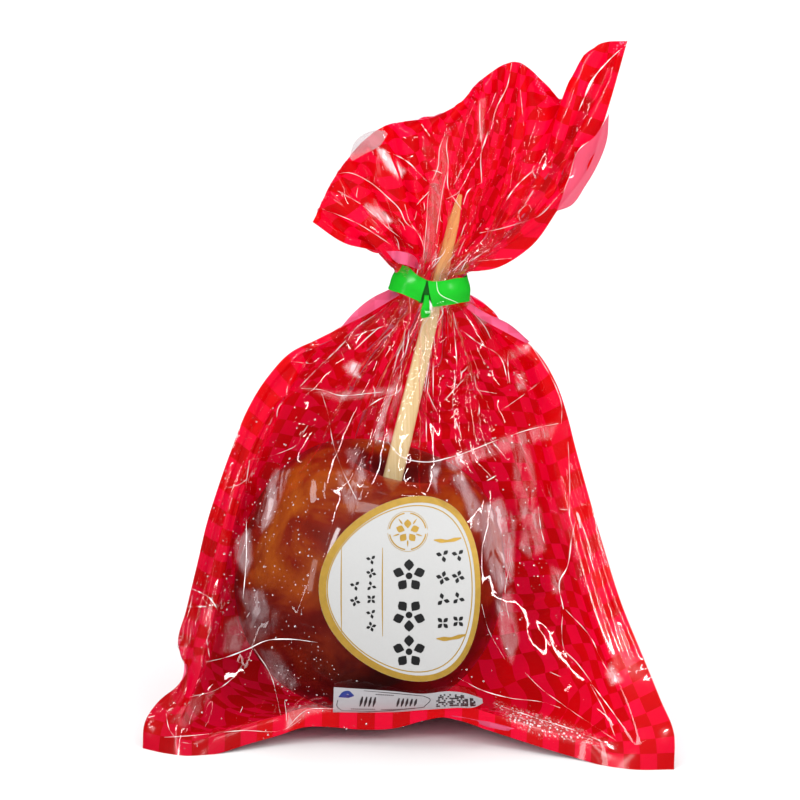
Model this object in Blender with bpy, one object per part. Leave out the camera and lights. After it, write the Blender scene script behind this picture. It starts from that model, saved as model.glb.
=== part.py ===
"""A toffee apple on a flat wooden stick, standing in a film bag that a ribbon ties above it.

Frame: +X to the right, +Y to the back, +Z up, with the origin on the ground under the middle of the whole.
Shapes are worked out in millimetres and become metres in new_object.

The bag has a clear front panel and a printed back panel, sealed along the bottom and both sides. Each panel
is a solid, from a parting surface that spans the seams out to the film, with a recess for what it wraps. The
film fits the apple closely, bears on the ground under it, and fans out above the ribbon.
"""

import math

import bmesh
import bpy
import numpy as np
from mathutils import Matrix, Vector
from mathutils.bvhtree import BVHTree

MM = 0.001
GAP = 0.35  # between neighbouring pieces

# The apple, turned about an axis that leans the way the stick does.
APPLE_CENTRE = np.array([-11.4, 0.0, 41.5])
APPLE_LEAN = math.radians(13)
APPLE_PROFILE = (  # (distance from the axis, height along it), from the stalk's hollow to the eye
    (3.4, 31.0), (10.0, 34.2), (17.0, 36.8), (24.5, 34.6), (32.5, 27.0), (38.2, 15.0), (40.4, 2.0),
    (39.4, -11.0), (35.0, -22.0), (28.0, -31.0), (20.0, -37.6), (11.0, -40.6), (3.4, -41.0),
)
APPLE_SIDES = 36
APPLE_RINGS = 20
FLAT_HEIGHT = 1.5  # the apple's flat spot, above the film that bears on the ground

# The stick: (share of its length, width, depth), from the end in the apple to the blunt point.
STICK_FOOT = np.array([-10.2, 0.0, 48.0])
STICK_TIP = np.array([15.6, 1.0, 161.5])
STICK_SECTIONS = ((0.0, 5.8, 4.2), (0.34, 5.7, 4.1), (0.72, 4.3, 3.4), (0.93, 3.2, 2.6), (1.0, 1.2, 1.1))
STICK_CHAMFER = 0.28  # share of the width

# The bag's edges, each from the left or from the bottom.
FILM_WALL = 0.8
APPLE_ALLOWANCE = 0.5  # more film standoff over the apple, where its facets cut corners
BOTTOM_EDGE = (
    (-79.5, -38.5, 0.0), (-73, -43, 0.0), (-66, -45.5, 0.0), (-58, -44.5, 0.0), (-44, -40, 2.4),
    (-35.5, -37, 3.8), (-27, -35.5, 6.0), (-19, -34.5, 5.7), (-10.5, -34, 4.8), (0.5, -34, 5.2),
    (9.5, -34, 7.7), (15, -34.5, 8.8), (19.5, -35, 8.0), (27, -37, 5.9), (35.5, -40.5, 4.0), (44, -45, 2.4),
    (53, -49.5, 0.8), (61.5, -55.4, 0.0), (67, -58, 0.0), (79.5, -58, 0.0),
)
LEFT_SEAM = (
    (-79.5, -38.5, 0), (-79, -36, 7), (-74.5, -32, 13), (-69, -28, 16.5), (-66.5, -24, 20.5), (-69, -20, 26),
    (-66.5, -14, 36), (-63, -10, 50), (-60.5, -8, 60.5), (-57, -6, 71.5), (-53, -3, 82.5), (-48.5, 0, 93.5),
    (-42, 2, 104), (-35.5, 3, 111), (-27, 3, 115.5), (-19, 2, 120), (-10, 0, 126), (-3.2, 0, 130.5),
)
RIGHT_SEAM = (
    (79.5, -58, 0), (79.5, -54.5, 10), (75.5, -46, 18), (70, -36, 29), (64, -26, 41.5), (58.5, -17, 57),
    (53.5, -10, 73), (50, -6, 85), (47.5, -4, 94.5), (44.5, -2, 103), (40, -1, 111), (33.5, 0, 117.5),
    (26, 2, 122.5), (20, 2, 126), (16, 2, 129),
)
FLARE_LEFT = ((-3.2, 1, 139.5), (-7.5, -1, 143.5), (-19, -6, 148.5), (-28.5, -12, 157))
FLARE_RIGHT = (
    (15.8, 2, 137.0), (26, 2, 138), (36, 1, 144.5), (45.5, -3, 159), (53.5, -5, 171), (59.5, -3, 189),
    (65.5, 3, 209),
)
MOUTH_EDGE = (
    (-28.5, -12, 157), (-21, -4, 170), (-8.5, 0, 182.5), (9.5, 6, 185), (15.5, 3.5, 189.5), (21.5, 0, 197.5),
    (32, -2, 204), (41, 2, 196), (47, 6, 189), (50.5, 5, 196), (57.5, 2, 208.5), (65.5, 3, 209),
)
# Each panel's middle line, from the bottom seal to the neck. What dips below the ground is pressed flat.
FRONT_MIDDLE = (
    (-3, -34, 5), (-4, -34.5, 10), (-6, -37.5, 21), (-9, -42, 36), (-9, -42, 50), (-7, -36, 66),
    (-4, -25, 82), (1, -12.5, 105), (5, -5, 124), (6, -4, 129.5),
)
BACK_MIDDLE = (
    (-3, -34, 5), (-4, -32.5, 8.5), (-6, -26, 1), (-9, -14, -4), (-11, 4, -5), (-11.5, 26, 6),
    (-11.5, 42.5, 38), (-11, 41, 56), (-7, 31, 82), (0, 17, 108), (5, 9, 124), (6, 8, 129.5),
)
SEAL_SHARE = 0.04  # of the bag's width, sealed flat at each side
FULLNESS = 0.65  # under 1, the panels swell close to their side seals
NECK_HALF_DEPTH = 6.0
FOLD_COUNT = 4
FOLD_DEPTH = 5.0
COLUMNS = 21
BODY_ROWS = 22
FLARE_ROWS = 10

# Paper on the front film, placed on a plane that leans back as the apple's upper front does.
PAPER_LEAN = math.radians(18)
PAPER_THICK = 0.5
PAPER_GAP = 0.6
LABEL_CENTRE = (-2.5, 36.1)
LABEL_HALF = (24.2, 27.8)
STICKER_CENTRE = (0.0, 2.6)
STICKER_HALF = (22.4, 3.5)

# The ribbon: a flat band round the neck, pinched in front, with a short tail.
BAND_CENTRE = np.array([7.0, 2.0])
BAND_HALF = np.array([11.6, 8.6])
BAND_THICK = 0.8
BAND_WIDTH = 7.6
BAND_PINCHED = 4.6
BAND_STATIONS = 48
BAND_HEIGHT = 134.0
BAND_CLIMB = (-2.3, 0.6)  # how far the band's middle is above that at its right side and at its back
PINCH_DROP = 0.4
PINCH_ANGLE = math.radians(-97)
PINCH_SPREAD = math.radians(16)
TAIL_SIZE = (3.6, 1.6, 8.0)
TAIL_CENTRE = np.array([5.8, -7.35, 130.0])
TAIL_LEAN = 0.2
TAIL_EDGE = 0.45

CURVE_SAMPLES = 40  # along a curve for each of its points
RAY_START = 200.0  # how far in front of the bag rays towards its film set out


def unit(vector):
    return vector / np.linalg.norm(vector)


def spline(points, count):
    """Evenly spaced points along a smooth curve through these ones."""
    points = np.array(points, float)
    knots = np.concatenate([[0], np.cumsum(np.linalg.norm(np.diff(points, axis=0), axis=1))])
    slopes = np.gradient(points, knots, axis=0)
    samples = np.linspace(0, knots[-1], CURVE_SAMPLES * len(points))
    span = np.clip(np.searchsorted(knots, samples, side="right") - 1, 0, len(points) - 2)
    width = np.diff(knots)[span][:, None]
    t = (samples - knots[span])[:, None] / width
    curve = (
        (2 * t**3 - 3 * t**2 + 1) * points[span]
        + (t**3 - 2 * t**2 + t) * width * slopes[span]
        + (3 * t**2 - 2 * t**3) * points[span + 1]
        + (t**3 - t**2) * width * slopes[span + 1]
    )
    run = np.concatenate([[0], np.cumsum(np.linalg.norm(np.diff(curve, axis=0), axis=1))])
    wanted = np.linspace(0, run[-1], count)
    return np.stack([np.interp(wanted, run, curve[:, axis]) for axis in range(points.shape[1])], axis=1)


def coons(bottom, top, left, right, settle=1):
    """The patch that four edge curves bound, as rows of points. The bottom edge's bends fade out upwards,
    sooner with a higher settle."""
    u = np.linspace(0, 1, len(bottom))[:, None]
    w = np.linspace(0, 1, len(left))[:, None, None]
    share = (1 - w) ** settle
    bends_low = bottom - ((1 - u) * bottom[0] + u * bottom[-1])
    bends_high = top - ((1 - u) * top[0] + u * top[-1])
    return (1 - u) * left[:, None] + u * right[:, None] + share * bends_low + (1 - share) * bends_high


def swell():
    """How far each column of a panel stands out, from 0 on the side seals to 1 in the middle."""
    u = np.linspace(0, 1, COLUMNS)
    inside = np.clip((u - SEAL_SHARE) / (1 - 2 * SEAL_SHARE), 0, 1)
    return np.sin(math.pi * inside) ** FULLNESS


def leaned(offset, lean):
    """Turns offsets about the Y axis, so that their upper end leans to the right."""
    c, s = math.cos(lean), math.sin(lean)
    turn = np.array([[c, 0, s], [0, 1, 0], [-s, 0, c]])
    return offset @ turn.T


def clear_of_apple(points, standoff):
    """Pushes points straight out from the apple's centre until they stand off its skin."""
    profile = spline(APPLE_PROFILE, 200)
    angles = np.arctan2(profile[:, 0], profile[:, 1])
    reach = np.hypot(profile[:, 0], profile[:, 1])
    offset = points - APPLE_CENTRE
    local = leaned(offset, -APPLE_LEAN)
    angle = np.arctan2(np.hypot(local[..., 0], local[..., 1]), local[..., 2])
    skin = np.interp(angle, angles, reach) + standoff
    distance = np.linalg.norm(offset, axis=-1)
    grown = np.maximum(skin / np.maximum(distance, 1e-6), 1)
    return APPLE_CENTRE + offset * grown[..., None]


def parting_surface():
    """Rows of points on the sheet between the two panels, through the body and then the flare."""
    neck_low = np.linspace(LEFT_SEAM[-1], RIGHT_SEAM[-1], COLUMNS)
    neck_high = np.linspace(FLARE_LEFT[0], FLARE_RIGHT[0], COLUMNS)
    body = coons(
        spline(BOTTOM_EDGE, COLUMNS),
        neck_low,
        spline(LEFT_SEAM, BODY_ROWS),
        spline(RIGHT_SEAM, BODY_ROWS),
        settle=5,
    )
    body[..., 2] = np.maximum(body[..., 2], 0)
    flare = coons(
        neck_high,
        spline(MOUTH_EDGE, COLUMNS),
        spline(FLARE_LEFT, FLARE_ROWS),
        spline(FLARE_RIGHT, FLARE_ROWS),
    )
    u = np.linspace(0, 1, COLUMNS)[None]
    rise = np.linspace(0, 1, FLARE_ROWS)[:, None]
    flare[..., 1] += FOLD_DEPTH * rise**1.5 * np.sin(2 * math.pi * FOLD_COUNT * u) * swell()
    return body, flare


def panel(parting, middle, side):
    """The film side of one panel: side is -1 for the front and 1 for the back."""
    body, flare = parting
    wall = GAP / 2 + FILM_WALL
    line = spline(middle, BODY_ROWS)
    out = body + swell()[None, :, None] * (line - body[:, COLUMNS // 2])[:, None]
    out[..., 1] += side * wall
    out = clear_of_apple(out, GAP + FILM_WALL + APPLE_ALLOWANCE)
    out[..., 2] = np.maximum(out[..., 2], 0)
    rise = np.linspace(0, 1, FLARE_ROWS)[:, None]
    spread = flare.copy()
    spread[..., 1] += side * (wall + NECK_HALF_DEPTH * swell()[None] * (1 - rise))
    return np.concatenate([out, spread])


def material(name, colour, roughness, metallic=0.0, alpha=1.0):
    made = bpy.data.materials.new(name)
    made.use_nodes = True
    shader = made.node_tree.nodes["Principled BSDF"]
    shader.inputs["Base Color"].default_value = (*colour, 1)
    shader.inputs["Roughness"].default_value = roughness
    shader.inputs["Metallic"].default_value = metallic
    shader.inputs["Alpha"].default_value = alpha
    made.diffuse_color = (*colour, alpha)
    return made


def new_object(name, bm, surface):
    bmesh.ops.recalc_face_normals(bm, faces=bm.faces)
    bmesh.ops.scale(bm, vec=(MM, MM, MM), verts=bm.verts)
    mesh = bpy.data.meshes.new(name)
    bm.to_mesh(mesh)
    bm.free()
    mesh.shade_smooth()
    mesh.set_sharp_from_angle(angle=math.radians(40))
    if surface:
        mesh.materials.append(surface)
    made = bpy.data.objects.new(name, mesh)
    bpy.context.scene.collection.objects.link(made)
    return made


def shell_mesh(outer, inner):
    """A closed bmesh between two equal grids of points."""
    bm = bmesh.new()
    rows, columns = outer.shape[:2]
    sheets = [[[bm.verts.new(p) for p in row] for row in sheet] for sheet in (outer, inner)]
    for sheet in sheets:
        for r in range(rows - 1):
            for c in range(columns - 1):
                bm.faces.new((sheet[r][c], sheet[r][c + 1], sheet[r + 1][c + 1], sheet[r + 1][c]))
    rim = [(0, c) for c in range(columns)] + [(r, columns - 1) for r in range(1, rows)]
    rim += [(rows - 1, c) for c in range(columns - 2, -1, -1)] + [(r, 0) for r in range(rows - 2, 0, -1)]
    for (r0, c0), (r1, c1) in zip(rim, rim[1:] + rim[:1]):
        bm.faces.new((sheets[0][r0][c0], sheets[0][r1][c1], sheets[1][r1][c1], sheets[1][r0][c0]))
    return bm


def loop_mesh(sections):
    """A closed bmesh through a ring of sections, each a list of corners."""
    bm = bmesh.new()
    rings = [[bm.verts.new(p) for p in section] for section in sections]
    for ring, following in zip(rings, rings[1:] + rings[:1]):
        for i in range(len(ring)):
            j = (i + 1) % len(ring)
            bm.faces.new((ring[i], ring[j], following[j], following[i]))
    return bm


def loft_mesh(sections):
    """A bmesh through open sections, with both ends filled."""
    bm = bmesh.new()
    rings = [[bm.verts.new(p) for p in section] for section in sections]
    for ring, following in zip(rings, rings[1:]):
        for i in range(len(ring)):
            j = (i + 1) % len(ring)
            bm.faces.new((ring[i], ring[j], following[j], following[i]))
    bm.faces.new(rings[0])
    bm.faces.new(rings[-1])
    return bm


def apple_mesh(grow):
    """The turned apple, pressed flat where it stands; grow makes a cutter a little larger."""
    profile = spline(APPLE_PROFILE, APPLE_RINGS)
    tangent = np.gradient(profile, axis=0)
    normal = np.stack([-tangent[:, 1], tangent[:, 0]], axis=1)
    normal /= np.linalg.norm(normal, axis=1)[:, None]
    profile = profile + grow * normal
    turns = np.linspace(0, 2 * math.pi, APPLE_SIDES, endpoint=False)
    rings = []
    for radius, height in profile:
        ring = np.stack([radius * np.cos(turns), radius * np.sin(turns), np.full(APPLE_SIDES, height)], 1)
        ring = APPLE_CENTRE + leaned(ring, APPLE_LEAN)
        ring[:, 2] = np.maximum(ring[:, 2], FLAT_HEIGHT - grow)
        rings.append(ring)
    return loft_mesh(rings)


def stick_mesh(grow):
    """The flat tapering stick with its edges taken off."""
    axis = unit(STICK_TIP - STICK_FOOT)
    depth_way = unit(np.cross(axis, [1.0, 0.0, 0.0]))
    width_way = np.cross(depth_way, axis)
    sections = []
    for share, width, depth in STICK_SECTIONS:
        middle = STICK_FOOT + share * (STICK_TIP - STICK_FOOT)
        if grow and share in (0.0, 1.0):
            middle = middle + (2 * share - 1) * grow * axis
        half_w, half_d = width / 2 + grow, depth / 2 + grow
        cut = STICK_CHAMFER * min(half_w, half_d)
        corners = (
            (half_w, -half_d + cut), (half_w, half_d - cut), (half_w - cut, half_d), (-half_w + cut, half_d),
            (-half_w, half_d - cut), (-half_w, -half_d + cut), (-half_w + cut, -half_d), (half_w - cut, -half_d),
        )
        sections.append([middle + a * width_way + b * depth_way for a, b in corners])
    return loft_mesh(sections)


def cut_from(target, cutters):
    for cutter in cutters:
        cut = target.modifiers.new("Recess for " + cutter.name, "BOOLEAN")
        cut.operation = "DIFFERENCE"
        cut.object = cutter


def helper(name, bm):
    made = new_object(name, bm, None)
    made.hide_render = True
    made.display_type = "WIRE"
    return made


def band_height(angle):
    """The height of the ribbon's middle: it climbs to the left, and to the back."""
    return BAND_HEIGHT + BAND_CLIMB[0] * math.cos(angle) + BAND_CLIMB[1] * math.sin(angle)


def band_mesh():
    sections = []
    for angle in np.linspace(0, 2 * math.pi, BAND_STATIONS, endpoint=False):
        way = np.array([math.cos(angle), math.sin(angle)])
        middle = BAND_CENTRE + BAND_HALF * way
        off = (angle - PINCH_ANGLE + math.pi) % (2 * math.pi) - math.pi
        pinch = math.exp(-((off / PINCH_SPREAD) ** 2))
        half = (BAND_WIDTH - (BAND_WIDTH - BAND_PINCHED) * pinch) / 2
        height = band_height(angle) - PINCH_DROP * pinch
        across = unit(way / BAND_HALF) * BAND_THICK / 2
        sections.append([
            (*(middle - across), height - half), (*(middle + across), height - half),
            (*(middle + across), height + half), (*(middle - across), height + half),
        ])
    return loop_mesh(sections)


def tail_mesh():
    """The ribbon's twisted ends, hanging from the pinch."""
    bm = bmesh.new()
    bmesh.ops.create_cube(bm, size=1)
    bmesh.ops.scale(bm, vec=TAIL_SIZE, verts=bm.verts)
    bmesh.ops.bevel(bm, geom=bm.edges[:], offset=TAIL_EDGE, segments=2, affect="EDGES")
    turn = Matrix.Translation(Vector(TAIL_CENTRE)) @ Matrix.Rotation(TAIL_LEAN, 4, "Y")
    bmesh.ops.transform(bm, matrix=turn, verts=bm.verts)
    return bm


def paper_mesh(film, centre, half, count, is_oval):
    """A thin sheet laid on the film: a square grid of points, drawn in to an oval where asked."""
    tree = BVHTree.FromPolygons(*film)
    c, s = math.cos(PAPER_LEAN), math.sin(PAPER_LEAN)
    inward, upward = np.array([0.0, c, -s]), np.array([0.0, s, c])
    shares_a, shares_b = np.linspace(-1, 1, count[0]), np.linspace(-1, 1, count[1])
    outer = np.empty((count[1], count[0], 3))
    inner = np.empty_like(outer)
    for row, b in enumerate(shares_b):
        for column, a in enumerate(shares_a):
            x, up = (a * math.sqrt(1 - b * b / 2), b * math.sqrt(1 - a * a / 2)) if is_oval else (a, b)
            start = np.array([centre[0] + x * half[0], 0, 0]) + (centre[1] + up * half[1]) * upward
            hit, normal, _, _ = tree.ray_cast(Vector(start - RAY_START * inward), Vector(inward))
            normal = np.array(normal) * (-1 if normal.dot(Vector(inward)) > 0 else 1)
            inner[row, column] = np.array(hit) + PAPER_GAP * normal
            outer[row, column] = np.array(hit) + (PAPER_GAP + PAPER_THICK) * normal
    return shell_mesh(outer, inner)


def film_polygons(sheet):
    rows, columns = sheet.shape[:2]
    at = np.arange(rows * columns).reshape(rows, columns)
    quads = np.stack([at[:-1, :-1], at[:-1, 1:], at[1:, 1:], at[1:, :-1]], axis=-1).reshape(-1, 4)
    return [Vector(p) for p in sheet.reshape(-1, 3)], quads.tolist()


def stand_on_origin(objects):
    """Moves everything so that the middle of the model's box is over the origin, and its foot on the ground."""
    bpy.context.view_layer.update()
    graph = bpy.context.evaluated_depsgraph_get()
    corners = []
    for piece in objects:
        mesh = piece.evaluated_get(graph).to_mesh()
        corners += [piece.matrix_world @ vertex.co for vertex in mesh.vertices]
        piece.evaluated_get(graph).to_mesh_clear()
    low = np.min(corners, axis=0)
    high = np.max(corners, axis=0)
    whole = bpy.data.objects.new("toffee_apple", None)
    bpy.context.scene.collection.objects.link(whole)
    for piece in bpy.data.objects:
        if piece is not whole:
            piece.parent = whole
    whole.location = (-(low[0] + high[0]) / 2, -(low[1] + high[1]) / 2, -low[2])


def main():
    for old in list(bpy.data.objects):
        bpy.data.objects.remove(old)

    apple = new_object("apple", apple_mesh(0), material("toffee", (0.22, 0.03, 0.006), 0.12))
    stick = new_object("stick", stick_mesh(0), material("pale wood", (0.72, 0.52, 0.3), 0.6))
    apple_room = helper("apple_room", apple_mesh(GAP))
    stick_room = helper("stick_room", stick_mesh(GAP))
    cut_from(apple, [stick_room])

    parting = parting_surface()
    sheets = np.concatenate(parting)
    half_gap = np.array([0.0, GAP / 2, 0.0])
    front_film = panel(parting, FRONT_MIDDLE, -1)
    back_film = panel(parting, BACK_MIDDLE, 1)
    clear_film = material("clear film", (0.9, 0.35, 0.4), 0.08, alpha=0.35)
    red_film = material("red film", (0.75, 0.004, 0.02), 0.2)
    bag_front = new_object("bag_front", shell_mesh(front_film, sheets - half_gap), clear_film)
    bag_back = new_object("bag_back", shell_mesh(back_film, sheets + half_gap), red_film)
    cut_from(bag_front, [apple_room, stick_room])
    cut_from(bag_back, [apple_room, stick_room])

    tail = helper("tail", tail_mesh())
    tie = new_object("tie", band_mesh(), material("green ribbon", (0.01, 0.4, 0.03), 0.3))
    join = tie.modifiers.new("Tail", "BOOLEAN")
    join.operation = "UNION"
    join.object = tail

    polygons = film_polygons(front_film)
    paper = material("white paper", (0.78, 0.78, 0.76), 0.4)
    label = new_object("label", paper_mesh(polygons, LABEL_CENTRE, LABEL_HALF, (11, 13), True), paper)
    sticker = new_object("sticker", paper_mesh(polygons, STICKER_CENTRE, STICKER_HALF, (13, 4), False), paper)

    stand_on_origin([apple, stick, bag_front, bag_back, tie, label, sticker])


main()
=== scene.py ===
"""Looks of the toffee apple: the apple's toffee coat, its stick, and the clear and checked film bag around it.

Lengths are in millimetres in the frame's axes and become metres in mesh_piece. The film is two grids of points,
one for each panel of the bag. They start on smooth surfaces through the bag's seams, with pleats towards the
neck, and are then relaxed like cloth that can't stretch: finer and finer grids are pulled to their flat lengths
round the apple, the stick, the ribbon and the floor.
"""
import math

import bpy
import numpy as np
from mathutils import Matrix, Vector
from mathutils.bvhtree import BVHTree
from mathutils.geometry import delaunay_2d_cdt


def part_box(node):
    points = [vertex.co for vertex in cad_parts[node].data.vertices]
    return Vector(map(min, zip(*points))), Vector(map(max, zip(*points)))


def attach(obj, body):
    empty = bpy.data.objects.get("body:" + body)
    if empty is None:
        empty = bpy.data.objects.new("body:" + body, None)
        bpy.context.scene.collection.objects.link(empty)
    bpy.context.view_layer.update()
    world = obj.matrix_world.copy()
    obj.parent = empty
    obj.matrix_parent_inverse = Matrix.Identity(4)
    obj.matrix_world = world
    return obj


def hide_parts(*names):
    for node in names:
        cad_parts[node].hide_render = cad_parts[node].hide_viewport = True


MM = 0.001

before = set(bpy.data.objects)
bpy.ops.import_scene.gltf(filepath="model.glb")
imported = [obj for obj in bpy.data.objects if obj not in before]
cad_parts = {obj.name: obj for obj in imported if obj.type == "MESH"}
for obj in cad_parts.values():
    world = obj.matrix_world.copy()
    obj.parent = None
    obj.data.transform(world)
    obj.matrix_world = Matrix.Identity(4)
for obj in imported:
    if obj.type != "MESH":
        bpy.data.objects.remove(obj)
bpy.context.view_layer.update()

# The apple, turned about an axis that leans the way the stick does.
APPLE_WIDEST = 40.4
SHIFT = np.array([0.0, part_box("apple")[0].y / MM + APPLE_WIDEST, 0.0])  # from the bag's own axes to the frame's
APPLE_CENTRE = np.array([-11.4, 0.0, 41.5]) + SHIFT
APPLE_LEAN = math.radians(13)
APPLE_PROFILE = (  # (distance from the axis, height along it), from the stalk's hollow to the eye
    (3.4, 31.0), (10.0, 34.2), (17.0, 36.8), (24.5, 34.6), (32.5, 27.0), (38.2, 15.0), (40.4, 2.0),
    (39.4, -11.0), (35.0, -22.0), (28.0, -31.0), (20.0, -37.6), (11.0, -40.6), (3.4, -41.0),
)
FLAT_HEIGHT = 1.5

STICK_FOOT = np.array([-10.2, 0.0, 48.0]) + SHIFT
STICK_TIP = np.array([15.6, 1.0, 161.5]) + SHIFT
STICK_SECTIONS = ((0.0, 5.8, 4.2), (0.34, 5.7, 4.1), (0.72, 4.3, 3.4), (0.93, 3.2, 2.6), (1.0, 1.2, 1.1))

# The bag's edges, each from the left or from the bottom.
BOTTOM_EDGE = (
    (-79.5, -38.5, 0.0), (-73, -43, 0.0), (-66, -45.5, 0.0), (-58, -44.5, 0.0), (-44, -40, 2.4),
    (-35.5, -37, 3.8), (-27, -35.5, 6.0), (-19, -34.5, 5.7), (-10.5, -34, 4.8), (0.5, -34, 5.2),
    (9.5, -34, 7.7), (15, -34.5, 8.8), (19.5, -35, 8.0), (27, -37, 5.9), (35.5, -40.5, 4.0), (44, -45, 2.4),
    (53, -49.5, 0.8), (61.5, -55.4, 0.0), (67, -58, 0.0), (79.5, -58, 0.0),
)
LEFT_SEAM = (
    (-79.5, -38.5, 0), (-79, -36, 7), (-74.5, -32, 13), (-69, -28, 16.5), (-66.5, -24, 20.5), (-69, -20, 26),
    (-66.5, -14, 36), (-63, -10, 50), (-60.5, -8, 60.5), (-57, -6, 71.5), (-53, -3, 82.5), (-48.5, 0, 93.5),
    (-42, 2, 104), (-35.5, 3, 111), (-27, 3, 115.5), (-19, 2, 120), (-10, 0, 126), (-3.2, 0, 130.5),
)
RIGHT_SEAM = (
    (79.5, -58, 0), (79.5, -54.5, 10), (75.5, -46, 18), (70, -36, 29), (64, -26, 41.5), (58.5, -17, 57),
    (53.5, -10, 73), (50, -6, 85), (47.5, -4, 94.5), (44.5, -2, 103), (40, -1, 111), (33.5, 0, 117.5),
    (26, 2, 122.5), (20, 2, 126), (16, 2, 129),
)
FLARE_LEFT = ((-3.2, 1, 139.5), (-7.5, -1, 143.5), (-19, -6, 148.5), (-28.5, -12, 157))
FLARE_RIGHT = (
    (15.8, 2, 137.0), (26, 2, 138), (36, 1, 144.5), (45.5, -3, 159), (53.5, -5, 171), (59.5, -3, 189),
    (65.5, 3, 209),
)
MOUTH_EDGE = (
    (-28.5, -12, 157), (-21, -4, 170), (-8.5, 0, 182.5), (9.5, 6, 185), (15.5, 3.5, 189.5), (21.5, 0, 197.5),
    (32, -2, 204),
    (41, 2, 196), (47, 6, 189), (50.5, 5, 196), (57.5, 2, 208.5), (65.5, 3, 209),
)
# Each panel's middle line. The two share the sealed strip, and part above it.
SEALED_STRIP = ((-3, -34, 5), (-3, -33.4, 7.8), (-3.3, -32.8, 10.6))
FRONT_MIDDLE = SEALED_STRIP + (
    (-5, -35, 15), (-6, -37.5, 21), (-9, -42, 36), (-9, -42, 50), (-7, -36, 66),
    (-4, -25, 82), (1, -12.5, 105), (5, -5, 124), (6, -4, 129.5),
)
BACK_MIDDLE = SEALED_STRIP + (
    (-4, -29, 6.5), (-6, -21, 3.0), (-9, -11, 0), (-11, 4, -4), (-11.5, 26, 6),
    (-11.5, 42.5, 38), (-11, 41, 56), (-7, 31, 82), (0, 17, 108), (5, 9, 124), (6, 8, 129.5),
)
FILM_WIDTH = 160.0
BODY_HEIGHT = 165.0
FLARE_HEIGHT = 90.0
SEAL_SHARE = 0.075
FULLNESS = 0.65
NECK_CENTRE = np.array([7.0, 2.0, 134.0]) + SHIFT
NECK_HALF = np.array([10.3, 7.3])
NECK_HALF_DEPTH = 6.0
SEALS = (12.0, 11.0, 5.6)  # how wide the film is sealed at the left, the right and the bottom
PLEATS = (9, 10)
SLACK = 1.015
SHEAR = 0.15
COARSE = 2.5
COARSE_ROUNDS = 400
FINE_ROUNDS = 150
FILM_STANDOFF = 0.8
PANEL_GAP = 0.5
UNDERSIDE_SLOPE = 0.33  # how steeply the film under the bag rises to the bottom seal in front
UNDERSIDE_SHARE = 0.16
SEAL_HALF = np.array([0.0, 0.12, 0.0])
FLOOR_GAP = 0.25
TAUT_ROUNDS = 30  # how much the film is evened out along its side seals
MOUTH_STEP = 6.5  # how far the front panel's mouth stops below the back one's

# Sharp folds in the film, as seen square on to the paper: (radius, places across and up). They are drawn as nearly
# white threads, painted glints along the folds.
FLARE_CREASES = (
    (0.22, ((31, 193.5), (29.5, 186), (26.5, 180), (23, 170), (22, 167), (22, 157.5))),
    (0.2, ((22, 157.5), (18, 155), (16.5, 151))),
    (0.2, ((12, 162.5), (12, 156), (16, 149.5))),
    (0.2, ((-9.5, 168), (-0.5, 164), (5.5, 158))),
    (0.2, ((-22, 160), (-18, 160.5), (-12, 158), (-6.5, 153.5), (-2.5, 149.5), (-0.5, 145.5), (3, 143))),
    (0.2, ((-21, 155), (-14, 151), (-6, 144), (1.5, 138))),
    (0.12, ((-26.5, 150), (-15.5, 145.5), (-5, 139))),
    (0.22, ((39.5, 162.5), (35.5, 159.5), (32, 156), (27.5, 149))),
    (0.15, ((39.5, 162.5), (43, 162))),
    (0.18, ((44.5, 153), (39, 147.5), (33.5, 145.5), (26.5, 143.5), (21.5, 142.5))),
    (0.12, ((35.5, 151), (33, 148.5), (33.5, 146))),
    (0.3, ((60, 178), (56, 171.5), (50.5, 166.5), (48.5, 160), (47, 156), (46, 152))),
    (0.45, ((65.5, 199), (59.5, 193.5), (55, 188), (52.5, 182.5), (51, 179))),
    (0.12, ((12.5, 174), (9.5, 168), (9, 162.5), (6.5, 156), (5.5, 145), (4.5, 134))),
    (0.12, ((12.5, 174), (11.5, 168), (12, 163.5), (10.5, 156), (8.5, 142.5))),
    (0.3, ((4, 175), (6.5, 171.5))),
    (0.15, ((21.5, 185), (21.5, 174), (22, 168))),
    (0.12, ((33.5, 185), (34.5, 174.5))),
    (0.15, ((18.5, 134), (24, 137.5))),
    (0.12, ((20, 134), (31, 135))),
    (0.12, ((-1, 151), (0.5, 146), (3.5, 141.5), (5, 137.5))),
)
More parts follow.
